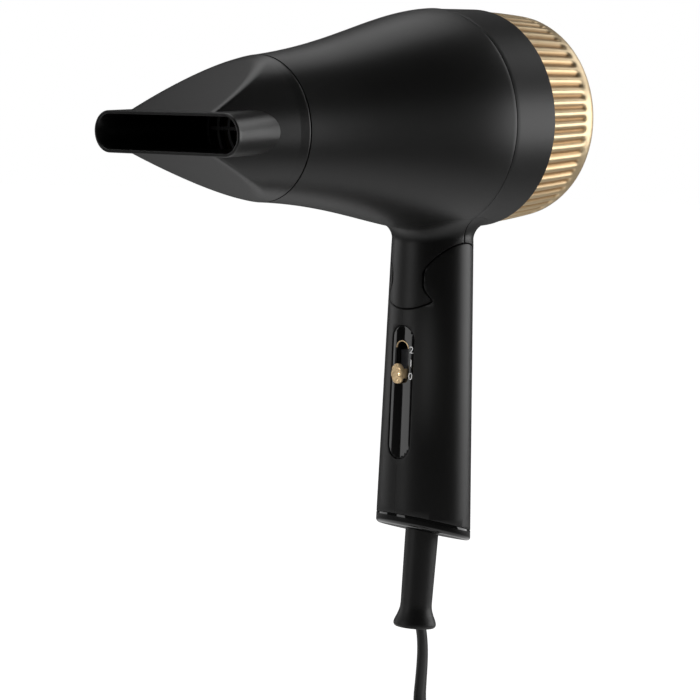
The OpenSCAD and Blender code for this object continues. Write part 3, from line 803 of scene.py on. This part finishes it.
def neck_point(u, turn, sink=0.0):
    """A point of the fillet, with turn from 0 on the neck to 90 degrees on the barrel."""
    angle = math.tau * u
    depth, width = bar_half(70)
    out = Vector((math.cos(angle) / depth, math.sin(angle) / width, 0)).normalized()
    foot = Vector((depth * math.cos(angle), width * math.sin(angle), 0))
    spot = foot + out * (FILLET_R * (1 - math.cos(turn)) + sink)
    spot.z = underside(spot.x, spot.y) - FILLET_R * (1 - math.sin(turn)) + sink
    return spot


def make_neck_bar():
    """Straight rows, the fillet's rows, and rows that close the top inside the barrel's wall."""
    straight_rows, closing_rows = 16, 5
    fillet_end = straight_rows + FILLET_ROWS

    def rule(u, v):
        row = round(v * (fillet_end + closing_rows))
        if row > fillet_end:
            spot = neck_point(u, math.pi / 2, 0.9) * (1 - (row - fillet_end - 1) / (closing_rows - 0.9))
            spot.z = underside(spot.x, spot.y) + 0.9
            return spot
        top = neck_point(u, math.radians(90) * max(row - straight_rows, 0) / FILLET_ROWS)
        if row >= straight_rows:
            return top
        z = NECK_LOW + (top.z - NECK_LOW) * row / straight_rows
        depth, width = bar_half(z)
        return Vector((depth * math.cos(math.tau * u), width * math.sin(math.tau * u), z))

    return lofted(112, fillet_end + closing_rows, rule)


print("fillet starts %.1f mm up at the front" % neck_point(0.5, 0).z)

# %% [markdown]
# ## The hinge's outlines
# Seen from the side, round cheeks on the handle hold a tongue of the neck. The outlines are drawn round
# the hinge's axis: the neck with its front flap, the tongue, and the handle's cheeks. Each is given
# thickness and kept, or cut away, from the oval bar.

# %% Hinge outlines
CHEEK_R = 13.2
TONGUE_HALF = 7.0
FORK_HALF = 7.6
FLAP_EDGE = -11.4
FLAP_FRONT = -16.4
SHELF = -13.9
GAP = 0.3


def flap_z(x, drop=0.0):
    """The flap's lower edge runs forwards and down."""
    return -7.2 + 0.86 * (x + 11.4) - drop


def joint_x(z):
    """Where the casings' joint runs, at a height above the hinge."""
    return (JOINT_S - (z + PIVOT_Z - BARREL_Z) * math.sin(BARREL_TILT)) / math.cos(BARREL_TILT) - PIVOT_X


def neck_front_outline():
    gap_r = CHEEK_R + GAP
    start = 180 + math.degrees(math.asin(7.2 / gap_r))
    end = math.degrees(math.acos(joint_x(gap_r) / gap_r))
    return ([(joint_x(45), 45), (-30, 45), (-30, flap_z(FLAP_FRONT)), (FLAP_FRONT, flap_z(FLAP_FRONT))]
            + list(arc((0, 0), gap_r, start, end, 48)))


def neck_rear_outline():
    gap_r = CHEEK_R + GAP
    start = math.degrees(math.acos((joint_x(gap_r) + 0.2) / gap_r))
    return ([(30, 45), (joint_x(45) + 0.2, 45)] + list(arc((0, 0), gap_r, start, 1, 40)) + [(30, 0.2)])


def tongue_outline():
    """A disc with a stem, and the middle of the flap in front of it."""
    radius, stem = CHEEK_R - GAP, 6.0
    meet = 180 + math.degrees(math.asin(6.82 / radius))
    start = math.degrees(math.acos(stem / radius))
    return ([(stem, 45)] + list(arc((0, 0), radius, start, meet - 360, 60))
            + [(FLAP_FRONT, flap_z(FLAP_FRONT)), (-30, flap_z(FLAP_FRONT)), (-30, 45)])


def cheek_outline():
    low = flap_z(FLAP_FRONT, 0.55)
    meet = 180 + math.degrees(math.asin(7.3 / CHEEK_R))
    return ([(30, -110), (30, 0)] + list(arc((0, 0), CHEEK_R, 0, meet, 64))
            + [(FLAP_EDGE + GAP, flap_z(FLAP_EDGE + GAP, 0.55)), (FLAP_FRONT, low), (-30, low), (-30, -110)])


def neck_room():
    """The hollow behind the cheeks that takes the neck's back when the barrel is folded."""
    outline = list(arc((0, 0), CHEEK_R, -90, 0, 32)) + [(30, 0), (30, -30), (0, -30)]
    back = lofted(96, 2, lambda u, v: Vector((
        30 * v - 1, (WIDTH_TOP + 0.7) * math.cos(math.tau * u),
        PIVOT_X + (DEPTH_TOP + 0.7) * math.sin(math.tau * u))), PIVOT)
    return combined(back, slab(outline, -30, 30, PIVOT), "INTERSECT")


def fork_outline():
    """What is cut away between the cheeks."""
    gap_r = CHEEK_R + 0.1
    low = flap_z(FLAP_FRONT, 0.55)
    start = -180 + math.degrees(math.asin(7.43 / gap_r))
    return ([(30, 40), (-30, 40), (-30, low), (FLAP_FRONT, low)]
            + list(arc((0, 0), gap_r, start, -90, 16)) + [(0, SHELF), (30, SHELF)])


print("hinge outlines:", [len(make()) for make in (neck_front_outline, neck_rear_outline,
                                                  tongue_outline, cheek_outline, fork_outline)])

# %% [markdown]
# ## The casings
# Each casing is its turned shell with its half of the neck. The front one also carries the tongue.

# %% Casings with their necks
def make_front_casing():
    neck = combined(make_neck_bar(), slab(neck_front_outline(), -30, 30, PIVOT), "INTERSECT")
    soften(neck, 0.3, 60, 3)
    tongue = combined(bar(NECK_LOW, 72, 0.05), slab(tongue_outline(), -TONGUE_HALF, TONGUE_HALF, PIVOT),
                      "INTERSECT")
    soften(tongue, 0.2, 60, 2)
    return joined(make_front_shell(), neck, tongue)


def make_rear_casing():
    neck = combined(make_neck_bar(), slab(neck_rear_outline(), -30, 30, PIVOT), "INTERSECT")
    neck = cut(neck, slab([(-20, -20), (6.2, -20), (6.2, 17), (-20, 17)], -TONGUE_HALF - 0.1,
                          TONGUE_HALF + 0.1, PIVOT))
    soften(neck, 0.22, 60, 2)
    return joined(make_rear_shell(), neck)


front = piece("front_casing_shell", make_front_casing(), SATIN_BLACK, "barrel",
              ("front_casing",))
rear = piece("rear_casing_shell", make_rear_casing(), SATIN_BLACK, "barrel",
             ("rear_casing",))

# %% [markdown]
# ## The handle
# The handle is a hollow grip in two halves, left and right, held by screws from its right side. It is
# cut from the bar with the hinge outlines, hollowed with a smaller bar, opened at the front for the
# switch panel and cut off at a slant for the end cap.

# %% Cutters for the handle
WINDOW_LOW, WINDOW_HIGH, WINDOW_HALF = -10.7, 37.2, 5.2
SCREW_X = 9.0
SCREW_LEVELS = (32.0, -17.0)


def stadium(half, low, high, shrink=0.0, count=16):
    """An upright stadium outline of (y, z) points."""
    half, low, high = half - shrink, low + shrink, high - shrink
    return (list(arc((0, high - half), half, 0, 180, count)) + list(arc((0, low + half), half, 180, 360, count)))


def front_prism(outline, near, far):
    """An outline in the YZ plane given depth along X."""
    turn = Matrix(((0, 1, 0, 0), (1, 0, 0, 0), (0, 0, 1, 0), (0, 0, 0, 1)))
    bm = slab(outline, near, far, turn)
    bmesh.ops.recalc_face_normals(bm, faces=bm.faces)
    return bm


def rod_y(x, z, radius, low, high, segments=40):
    bm = bmesh.new()
    bmesh.ops.create_cone(bm, cap_ends=True, segments=segments, radius1=radius, radius2=radius,
                          depth=high - low)
    bmesh.ops.transform(bm, verts=bm.verts, matrix=Matrix.Translation((x, (low + high) / 2, z))
                        @ Matrix.Rotation(math.radians(90), 4, "X"))
    return bm


# %% Handle halves
def make_grip():
    point, normal = slanted_plane(0)
    grip = trimmed(bar(BAR_LOW, BAR_TOP), point, -normal)
    grip = combined(grip, slab(cheek_outline(), -30, 30, PIVOT), "INTERSECT")
    grip = cut(grip, slab(fork_outline(), -FORK_HALF, FORK_HALF, PIVOT), neck_room(),
               bar(BAR_LOW - 5, PIVOT_Z - 15.3, WALL, 20))
    for level in SCREW_LEVELS:
        boss = combined(rod_y(SCREW_X, level, 3.4, -13, 13), bar(BAR_LOW, BAR_TOP, 1.0, 20), "INTERSECT")
        grip = combined(grip, boss, "UNION")
    grip = cut(grip, front_prism(stadium(WINDOW_HALF, WINDOW_LOW, WINDOW_HIGH), -30, -5))
    for level in SCREW_LEVELS:
        grip = cut(grip, rod_y(SCREW_X, level, 2.9, 8, 30), rod_y(SCREW_X, level, 1.5, -9, 9))
    return grip


def make_half(grip, side):
    low, high = ((-40, -40, -70), (40, -0.02, 90)) if side < 0 else ((-40, 0.02, -70), (40, 40, 90))
    half = combined(grip, block(low, high), "INTERSECT")
    return soften(half, 0.25, 55, 2, lambda edge: abs(sum(v.co.y for v in edge.verts)) > 1.0)


grip_left = piece("handle_left", make_half(make_grip(), -1), SATIN_BLACK, "handle",
                  ("handle_shell_left",))
grip_right = piece("handle_right", make_half(make_grip(), 1), SATIN_BLACK, "handle",
                   ("handle_shell_right",))

# %% [markdown]
# ## The end cap, the panel and the slider
# The cap is a polished plug of the same oval, with a softly rounded lower edge. The panel is a polished
# inlay that stays a third of a millimetre below the handle's surface, with a slot for the slider.

# %% End cap
def make_cap():
    """Rows of (distance below the shell, inset), closed flat at the top and the bottom."""
    edge = 1.4
    rows = [(0.14, 0.5), (0.14, 0.1), (0.18, 0.02), (0.25, 0.0), (1.0, 0.0), (CAP_HEIGHT - edge, 0.0)]
    rows += [(CAP_HEIGHT - edge + edge * math.sin(math.radians(15 * i)),
              edge - edge * math.cos(math.radians(15 * i))) for i in range(1, 7)]
    rows += [(CAP_HEIGHT, edge + 0.6)]

    def rule(u, v):
        drop, inset = rows[round(v * (len(rows) - 1))]
        x, z = 0.0, END_Z - drop
        for _ in range(6):
            depth, width = bar_half(z, inset)
            x = depth * math.cos(math.tau * u)
            z = END_Z - drop - x * math.tan(END_SLANT)
        return Vector((x, width * math.sin(math.tau * u), z))

    hole = turned([(0, -15), (5.15, -15), (5.15, 15), (0, 15)], 64, RELIEF)
    return cut(lofted(112, len(rows) - 1, rule), hole)


cap = piece("handle_end_cap", make_cap(), GLOSS_BLACK, "handle", ("end_cap",))

# %% Switch panel
SLOT_HALF, SLOT_LOW, SLOT_HIGH = 2.7, 16.8, 31.4


def make_panel():
    panel = combined(bar(-20, 45, 0.35, 60), front_prism(
        stadium(WINDOW_HALF, WINDOW_LOW, WINDOW_HIGH, 0.12, 24), -30, -5), "INTERSECT")
    panel = cut(panel, bar(-25, 50, WALL + 0.3, 30))
    panel = cut(panel, front_prism(stadium(SLOT_HALF, SLOT_LOW, SLOT_HIGH), -40, 0))
    return soften(panel, 0.3, 50, 3)


def make_painted_slot_highlight():
    """A painted highlight: a thin gold arc at the slot's round upper end, on the panel's surface, where the
    slot's edge catches the light.
    """
    ring = combined(bar(5, 45, 0.25, 40), front_prism(
        stadium(SLOT_HALF, SLOT_LOW, SLOT_HIGH, -0.35, 24), -30, -5), "INTERSECT")
    ring = cut(ring, bar(0, 50, 0.9, 20))
    ring = cut(ring, front_prism(stadium(SLOT_HALF, SLOT_LOW, SLOT_HIGH, 0.05, 24), -40, 0),
               block((-40, -10, 0), (0, 10, SLOT_HIGH - 2.4)))
    return soften(ring, 0.12, 50, 2)


panel = piece("switch_panel_inlay", make_panel(), GLOSS_BLACK, "handle",
              ("switch_panel",))
# Painted highlight: a gold arc where the slot's upper edge catches the light.
rim = piece("painted_slot_highlight", make_painted_slot_highlight(), GOLD, "handle")

# %% [markdown]
# The slider's knob is a plated nugget with wavy ridges for the thumb. It starts as a sphere, is made
# squarer by a rule on its coordinates and gets its ridges from a wave that runs across it.

# %% Slider knob
KNOB_Z = 20.0


def make_knob():
    bm = bmesh.new()
    bmesh.ops.create_uvsphere(bm, u_segments=48, v_segments=32, radius=1)
    for vert in bm.verts:
        square = [math.copysign(abs(part) ** 0.8, part) for part in vert.co]
        vert.co = Vector((square[0] * 1.35, square[1] * 2.6, square[2] * 3.6))
        ridge = math.sin(2.3 * vert.co.z + 1.4 * math.sin(1.9 * vert.co.y))
        if vert.co.x < -0.2:
            vert.co.x += 0.32 * (ridge - 0.6) * min(1.0, (-vert.co.x - 0.2))
    bmesh.ops.translate(bm, vec=(-16.0, 0, KNOB_Z), verts=bm.verts)
    stem = block((-15.6, -2.2, KNOB_Z - 1.7), (-12.8, 2.2, KNOB_Z + 1.7))
    soften(stem, 0.3, 40, 2)
    return joined(bm, stem)


knob = piece("slider_knob_plated", make_knob(), GOLD, "slider", ("slider_knob",), 50)

# %% [markdown]
# The three positions are marked 0, 1 and 2 at the panel's edge. Text is a curve, so it is turned into
# a mesh first, and each of its points is then wrapped onto the oval.

# %% Position marks
MARK_Y = -4.1
MARK_SIZE = 3.6
MARK_LEVELS = {"0": 18.0, "1": 22.7, "2": 27.4}


def make_mark(text, level):
    curve = bpy.data.curves.new("mark", "FONT")
    curve.body = text
    curve.size = MARK_SIZE
    curve.align_x = "CENTER"
    curve.extrude = 0.04
    thing = bpy.data.objects.new("mark", curve)
    bpy.context.scene.collection.objects.link(thing)
    bm = bmesh.new()
    bm.from_mesh(thing.evaluated_get(bpy.context.evaluated_depsgraph_get()).to_mesh())
    bpy.data.objects.remove(thing)
    for vert in bm.verts:
        depth, width = bar_half(level + vert.co.y, 0.33 - max(vert.co.z, 0))
        start = math.asin(-MARK_Y / width)
        speed = math.hypot(depth * math.sin(start), width * math.cos(start))
        angle = start + vert.co.x / speed
        vert.co = Vector((-depth * math.cos(angle), -width * math.sin(angle), level + vert.co.y))
    return bm


marks = joined(*[make_mark(text, level) for text, level in MARK_LEVELS.items()])
piece("position_marks", marks, MARK_PAINT, "handle")

# %% [markdown]
# ## The nozzle
# The concentrator is a short cone with two slanted flats that meet a wide, flat duct. Cutting a cone
# with planes leaves hard edges that are slow to round, so the surface follows a rule instead: at each
# turn it takes the nearer of the cone and the flat, with a soft change between them. The duct is a flat
# tube with a rounded lip, which widens from inside the cone to the mouth, and the cone's surface ends
# in the middle of the duct's wall.

# %% The nozzle's rules
MOUTH_S = -129.6
FLAT_S = -92.0
FLAT_MOUTH_HALF = 5.5
CONE_R, CONE_MOUTH_R = OUTLET_R - 0.5, 21.2
DUCT_S = -100.0
DUCT_MOUTH = (34.6, 6.9)
DUCT_ROOT = (23.0, 7.5)
LIP_R = 0.62


def soft_min(a, b, reach):
    """The smaller of two numbers, with a rounded change from one to the other."""
    near = max(reach - abs(a - b), 0) / reach
    return min(a, b) - near * near * reach / 4


def nozzle_radius(level, angle, inset=0.0):
    """The cone's radius, or the flat's distance where that is nearer."""
    share = (FLAT_S - level) / (FLAT_S - MOUTH_S)
    slope = CONE_R - CONE_MOUTH_R if share > 0 else 4.6
    cone = CONE_R - slope * share - inset
    flat = CONE_R + (FLAT_MOUTH_HALF - CONE_R) * share - inset
    return soft_min(cone, flat / max(abs(math.sin(angle)), 0.02), 1.5)


def duct_half(level, inset=0.0):
    share = max((level - DUCT_S) / (MOUTH_S - DUCT_S), 0)
    return tuple(root + (mouth - root) * share - inset for root, mouth in zip(DUCT_ROOT, DUCT_MOUTH))


def duct_distance(level, y, z):
    """How far a point is outside the duct's outline at its level."""
    wide, high = duct_half(level)
    return math.hypot(max(abs(y) - (wide - high), 0), z) - high


def cone_end(angle, inset):
    """The level where the cone's surface has sunk into the middle of the duct's wall."""
    low, high = MOUTH_S + 0.8, DUCT_S
    for _ in range(24):
        level = (low + high) / 2
        radius = nozzle_radius(level, angle, inset)
        inside = duct_distance(level, radius * math.cos(angle), radius * math.sin(angle)) < -LIP_R
        low, high = (level, high) if inside else (low, level)
    return low


# %% Nozzle body
def make_nozzle_cone():
    around, outer_rows, inner_rows = 288, 64, 14
    ends = [(cone_end(math.tau * i / around, 0), cone_end(math.tau * i / around, 1.4))
            for i in range(around + 1)]
    start, inside = NOZZLE_S - 0.85, NOZZLE_S - 6.9
    bore = SPIGOT_R + 0.3
    back = [(bore, inside), (bore, NOZZLE_S - 0.4), (OUTLET_R - 0.4, NOZZLE_S - 0.4),
            (OUTLET_R - 0.12, NOZZLE_S - 0.52), (nozzle_radius(start, 0), start)]
    rows = outer_rows + inner_rows + 1 + len(back)

    def rule(u, v):
        row = round(v * rows)
        angle = math.tau * u
        outer_end, inner_end = ends[round(u * around)]
        if row <= outer_rows:
            level = start + (outer_end - start) * row / outer_rows
            radius = nozzle_radius(level, angle)
        elif row <= outer_rows + inner_rows + 1:
            level = inner_end + (inside - inner_end) * (row - outer_rows - 1) / inner_rows
            radius = nozzle_radius(level, angle, 1.4)
        else:
            radius, level = back[row - outer_rows - inner_rows - 2]
        return Vector((level, radius * math.cos(angle), radius * math.sin(angle)))

    return lofted(around, rows, rule)


def stadium_point(u, half_w, half_h):
    """A point round a lying stadium, with most points on its round ends."""
    straight = half_w - half_h
    part, t = int(u * 4) % 4, u * 4 % 1
    if part in (0, 2):
        angle = math.pi * (t - 0.5 + (part == 2))
        return (straight * (1 - part) + half_h * math.cos(angle), half_h * math.sin(angle))
    sign = 2 - part
    return (sign * straight * (1 - 2 * t), sign * half_h)


def make_duct():
    """Rows from the root out to the mouth, round the lip and back inside."""
    along = [DUCT_S + (MOUTH_S + LIP_R - DUCT_S) * i / 14 for i in range(15)]
    rows = [(level, 0.0) for level in along]
    rows += [(MOUTH_S + LIP_R - LIP_R * math.sin(math.radians(22.5 * i)),
              LIP_R - LIP_R * math.cos(math.radians(22.5 * i))) for i in range(1, 8)]
    rows += [(level, 2 * LIP_R) for level in reversed(along)] + [rows[0]]

    def rule(u, v):
        level, inset = rows[round(v * (len(rows) - 1))]
        return Vector((level, *stadium_point(u, *duct_half(level, inset))))

    return lofted(128, len(rows) - 1, rule)


def make_nozzle():
    return moved(joined(make_nozzle_cone(), make_duct()), BARREL)


nozzle = piece("concentrator_nozzle", make_nozzle(), NOZZLE_BLACK, "nozzle",
               ("nozzle",), 30)

# %% [markdown]
# ## The ribbed cover
# The gold cover is a turned ring with 58 ribs along it. Cutting 58 grooves with Booleans would be slow
# and leave messy faces. The ring is turned with eight steps to a rib instead, and each point is then
# pressed inwards by a rule that depends on how near it is to the middle of a groove. Towards the rim
# the rule fades out, so the grooves end in rounded hollows.

# %% Ribbed ring
RIBS = 58
STEPS_PER_RIB = 12
GROOVE_DEPTH = 0.8
GROOVE_FROM, GROOVE_TO = COVER_S + 0.2, 39.6
CREST = [(38.35, COVER_S + 0.3), (38.5, COVER_S + 0.45)]


def crest_radius(level):
    """The ribs' outer line: a shallow bow from the casing to the rim."""
    t = (level - COVER_S) / (39.5 - COVER_S)
    return 38.52 - 1.05 * t - 0.5 * t * t


def make_cover_ring():
    levels = [COVER_S + 0.5 + i * (39.0 - COVER_S) / 26 for i in range(27)]
    crest = [(crest_radius(level), level) for level in levels if level < 40.0]
    rim = [(36.8, 41.0), (36.6, 42.2), (36.2, 43.4), (35.7, 44.5), (35.0, 45.3), (34.2, 45.85), (33.4, 46),
           (32.7, 45.7), (32.1, 44.9), (31.8, 43.6), (31.8, 41)]
    inside = [(33.6, 41), (33.6, 31), (34.6, 30), (34.6, COVER_S + 0.3)]
    ring = turned(CREST + crest + rim + inside, RIBS * STEPS_PER_RIB, None)
    groove = ring.verts.layers.float.new("groove")
    for vert in ring.verts:
        radius = math.hypot(vert.co.y, vert.co.z)
        if radius < 36.2 or vert.co.x > 41.5:
            continue
        phase = (math.atan2(vert.co.z, vert.co.y) / math.tau * RIBS) % 1.0
        near = math.cos(math.tau * phase) * 0.5 + 0.5
        valley = near ** 1.3
        fade = eased((GROOVE_TO - vert.co.x) / 2.2)
        pressed = (radius - GROOVE_DEPTH * valley * fade) / radius
        # How deep the point lies in a groove; the finish darkens the gold there as painted shade, and makes it
        # rougher.
        vert[groove] = eased(valley * fade)
        vert.co.y *= pressed
        vert.co.z *= pressed
    return moved(ring, BARREL)


cover = piece("ribbed_cover", make_cover_ring(), RIBBED_GOLD, "cover", ("cover_ring",), 50)

# %% [markdown]
# ## The air intake
# Behind the ring a guard of round bars and spokes keeps fingers out, and a fine steel mesh in front of
# it keeps lint out. The mesh is made of real crossed wires: each wire is only a few faces, because
# there are about ninety of them.

# %% Guard and mesh
GUARD_S = 38.4
GUARD_RINGS = (8, 13, 18, 23, 28)
MESH_S = 37.9
MESH_R = 32.8
WIRE_PITCH = 1.45
WIRE_R = 0.16


def ring_profile(radius, half, low, high):
    return rounded([(radius - half, low), (radius + half, low), (radius + half, high),
                    (radius - half, high)], 0.35, 3)


def make_guard():
    guard = turned(ring_profile(32.35, 1.15, GUARD_S, GUARD_S + 2.5), 96, None)
    for radius in GUARD_RINGS:
        guard = joined(guard, turned(ring_profile(radius, 0.8, GUARD_S, GUARD_S + 2), 72, None))
    hub = turned(rounded([(0, GUARD_S), (4, GUARD_S), (4, GUARD_S + 2.4), (0, GUARD_S + 2.7)], 0.5, 3), 48, None)
    guard = joined(guard, hub)
    for i in range(12):
        spoke = block((GUARD_S + 0.1, -0.75, 3), (GUARD_S + 1.8, 0.75, 32.4))
        soften(spoke, 0.3, 40, 2)
        guard = joined(guard, moved(spoke, Matrix.Rotation(math.tau * i / 12, 4, "X")))
    return moved(guard, BARREL)


def make_mesh_disc():
    disc = turned([(MESH_R - 0.6, MESH_S - 0.3), (MESH_R + 0.4, MESH_S - 0.3),
                   (MESH_R + 0.4, MESH_S + 0.3), (MESH_R - 0.6, MESH_S + 0.3)], 72, None)
    count = int(MESH_R / WIRE_PITCH)
    for across in (0, 1):
        for i in range(-count, count + 1):
            offset = i * WIRE_PITCH
            reach = math.sqrt(MESH_R * MESH_R - offset * offset)
            wire = bmesh.new()
            bmesh.ops.create_cone(wire, cap_ends=True, segments=6, radius1=WIRE_R, radius2=WIRE_R,
                                  depth=2 * reach)
            bmesh.ops.translate(wire, vec=(MESH_S + (0.12 if across else -0.12), offset, 0), verts=wire.verts)
            disc = joined(disc, moved(wire, Matrix.Rotation(math.radians(90) * across, 4, "X")))
    return moved(disc, BARREL)


guard = piece("intake_guard_moulding", make_guard(), DARK_NYLON, "cover",
              ("intake_guard",), 50)
mesh_disc = piece("lint_mesh", make_mesh_disc(), MESH_STEEL, "cover", ("dust_mesh",))

# %% [markdown]
# ## The CAD pieces that stay
# The inner works and the fasteners keep their CAD shapes. Each gets its finish by assigning to its
# object's material slots, which leaves its mesh as it is.

# %% Finishes on CAD pieces
CAD_FINISHES = {
    "handle_screws": STEEL, "clamp_screws": STEEL, "casing_screws": STEEL, "hinge_pin": STEEL,
    "motor_can": STEEL, "motor_shaft": STEEL, "hinge_washers": BRASS, "thermostat": BRASS,
    "thermal_fuse": NICKEL, "switch_block": DARK_NYLON, "cord_clamp": DARK_NYLON,
    "slider_carrier": DARK_NYLON, "outlet_grille": DARK_NYLON, "fan_housing": DARK_NYLON,
    "impeller": DARK_NYLON, "mica_sleeve": MICA, "mica_boards": MICA, "heater_coils": HEATER_WIRE,
    "rectifier_board": BOARD_GREEN, "barrel_leads": WIRE_SLEEVE, "handle_leads": WIRE_SLEEVE,
}


def refinish(node, finish):
    for place in frame["nodes"][node].material_slots:
        place.material = finish
    if not frame["nodes"][node].material_slots:
        frame["nodes"][node].data.materials.append(finish)


for node, finish in CAD_FINISHES.items():
    refinish(node, finish)
print("CAD pieces refinished:", len(CAD_FINISHES))

# %% [markdown]
# ## Floor and light
# The dryer stands in a white studio. Black plastic shows its shape only by what it mirrors, so large
# soft boxes stand behind it: one above, one to the left and one to the right, and the side where the
# camera stands stays dark. The floor is white to the camera, with a soft shadow near the dryer. Near the
# dryer the floor is paler and, to all but the camera, glows: a painted pool of light that fades with
# distance, which lights the plastic from below and mirrors in it.

# %% The floor
FLOOR_Z = cad_low.z - 0.0002
FLOOR_GLOW = 0.5


def make_floor():
    finish = Finish("studio_floor", Roughness=0.9)
    away = finish.node("VectorMath", {"operation": "LENGTH"}, {0: finish.place()}, 1)
    near = finish.node("MapRange", {"interpolation_type": "SMOOTHSTEP"},
                       {"Value": away, "From Min": 0.15, "From Max": 0.5, "To Min": 1.0, "To Max": 0.0})
    seen = finish.node("LightPath", {}, {}, 0)
    # Painted light: for all rays but the camera's the floor glows round the dryer, and it is paler there too.
    glow = seen * (1.0 - 0.25 * near) + (1.0 - seen) * near * FLOOR_GLOW
    finish.drive("Base Color", finish.tint(near, (0.25, 0.25, 0.25, 1), (0.8, 0.8, 0.8, 1)))
    finish.shader.inputs["Emission Color"].default_value = (1, 1, 1, 1)
    finish.drive("Emission Strength", glow)
    bm = bmesh.new()
    bmesh.ops.create_circle(bm, cap_ends=True, segments=96, radius=9)
    bmesh.ops.translate(bm, vec=(0, 0, FLOOR_Z), verts=bm.verts)
    mesh = bpy.data.meshes.new("studio_floor")
    bm.to_mesh(mesh)
    bm.free()
    mesh.materials.append(finish.material)
    floor = bpy.data.objects.new("studio_floor", mesh)
    bpy.context.scene.collection.objects.link(floor)


# %% Soft boxes and sky
def soft_box(name, place, target, size, brightness):
    """A rectangular light; brightness is how bright its face looks, with 1 for white."""
    data = bpy.data.lights.new(name, "AREA")
    data.shape = "RECTANGLE"
    data.size, data.size_y = size
    data.energy = brightness * math.pi * size[0] * size[1]
    box = bpy.data.objects.new(name, data)
    bpy.context.scene.collection.objects.link(box)
    box.location = Vector(place)
    box.rotation_euler = (Vector(target) - Vector(place)).to_track_quat("-Z", "Y").to_euler()
    box.visible_camera = False
    return box


def make_sky():
    """White where the camera looks straight at it, and nearly dark where it only lights the dryer."""
    world = bpy.data.worlds.new("studio")
    bpy.context.scene.world = world
    world.use_nodes = True
    nodes, links = world.node_tree.nodes, world.node_tree.links
    seen = nodes.new("ShaderNodeLightPath")
    level = nodes.new("ShaderNodeMapRange")
    level.inputs["To Min"].default_value = 0.05
    level.inputs["To Max"].default_value = 1.0
    links.new(seen.outputs["Is Camera Ray"], level.inputs["Value"])
    sky = nodes["Background"]
    sky.inputs["Color"].default_value = (1, 1, 1, 1)
    links.new(level.outputs["Result"], sky.inputs["Strength"])


def spot_on(name, place, target, degrees, power):
    """A narrow spot for one small piece."""
    data = bpy.data.lights.new(name, "SPOT")
    data.energy = power
    data.spot_size = math.radians(degrees)
    data.spot_blend = 0.6
    data.shadow_soft_size = 0.02
    spot = bpy.data.objects.new(name, data)
    bpy.context.scene.collection.objects.link(spot)
    spot.location = Vector(place)
    spot.rotation_euler = (Vector(target) - Vector(place)).to_track_quat("-Z", "Y").to_euler()


make_floor()
make_sky()
spot_on("slider_spot", (-0.75, -0.35, 0.4), (-0.015, -0.0015, 0.0225), 1.5, 45)
soft_box("right_box", (0.95, -0.56, 0.06), (0, 0, 0.05), (0.95, 0.7), 2.5)
soft_box("ring_box", (1.15, -0.1, 0.7), (0.03, 0, 0.11), (0.6, 0.5), 1.6)
soft_box("left_box", (-0.2, 1.0, 0.1), (0, 0, 0.05), (0.6, 0.9), 0.9)
soft_box("panel_strip", (-0.9, 0.42, 0.05), (0, 0, 0.03), (0.34, 0.9), 1.3)
soft_box("top_box", (0.05, 0.45, 1.05), (0, 0, 0.1), (1.4, 0.8), 1.15)
bpy.context.scene.view_settings.view_transform = "Standard"
print("studio: one floor, five soft boxes")
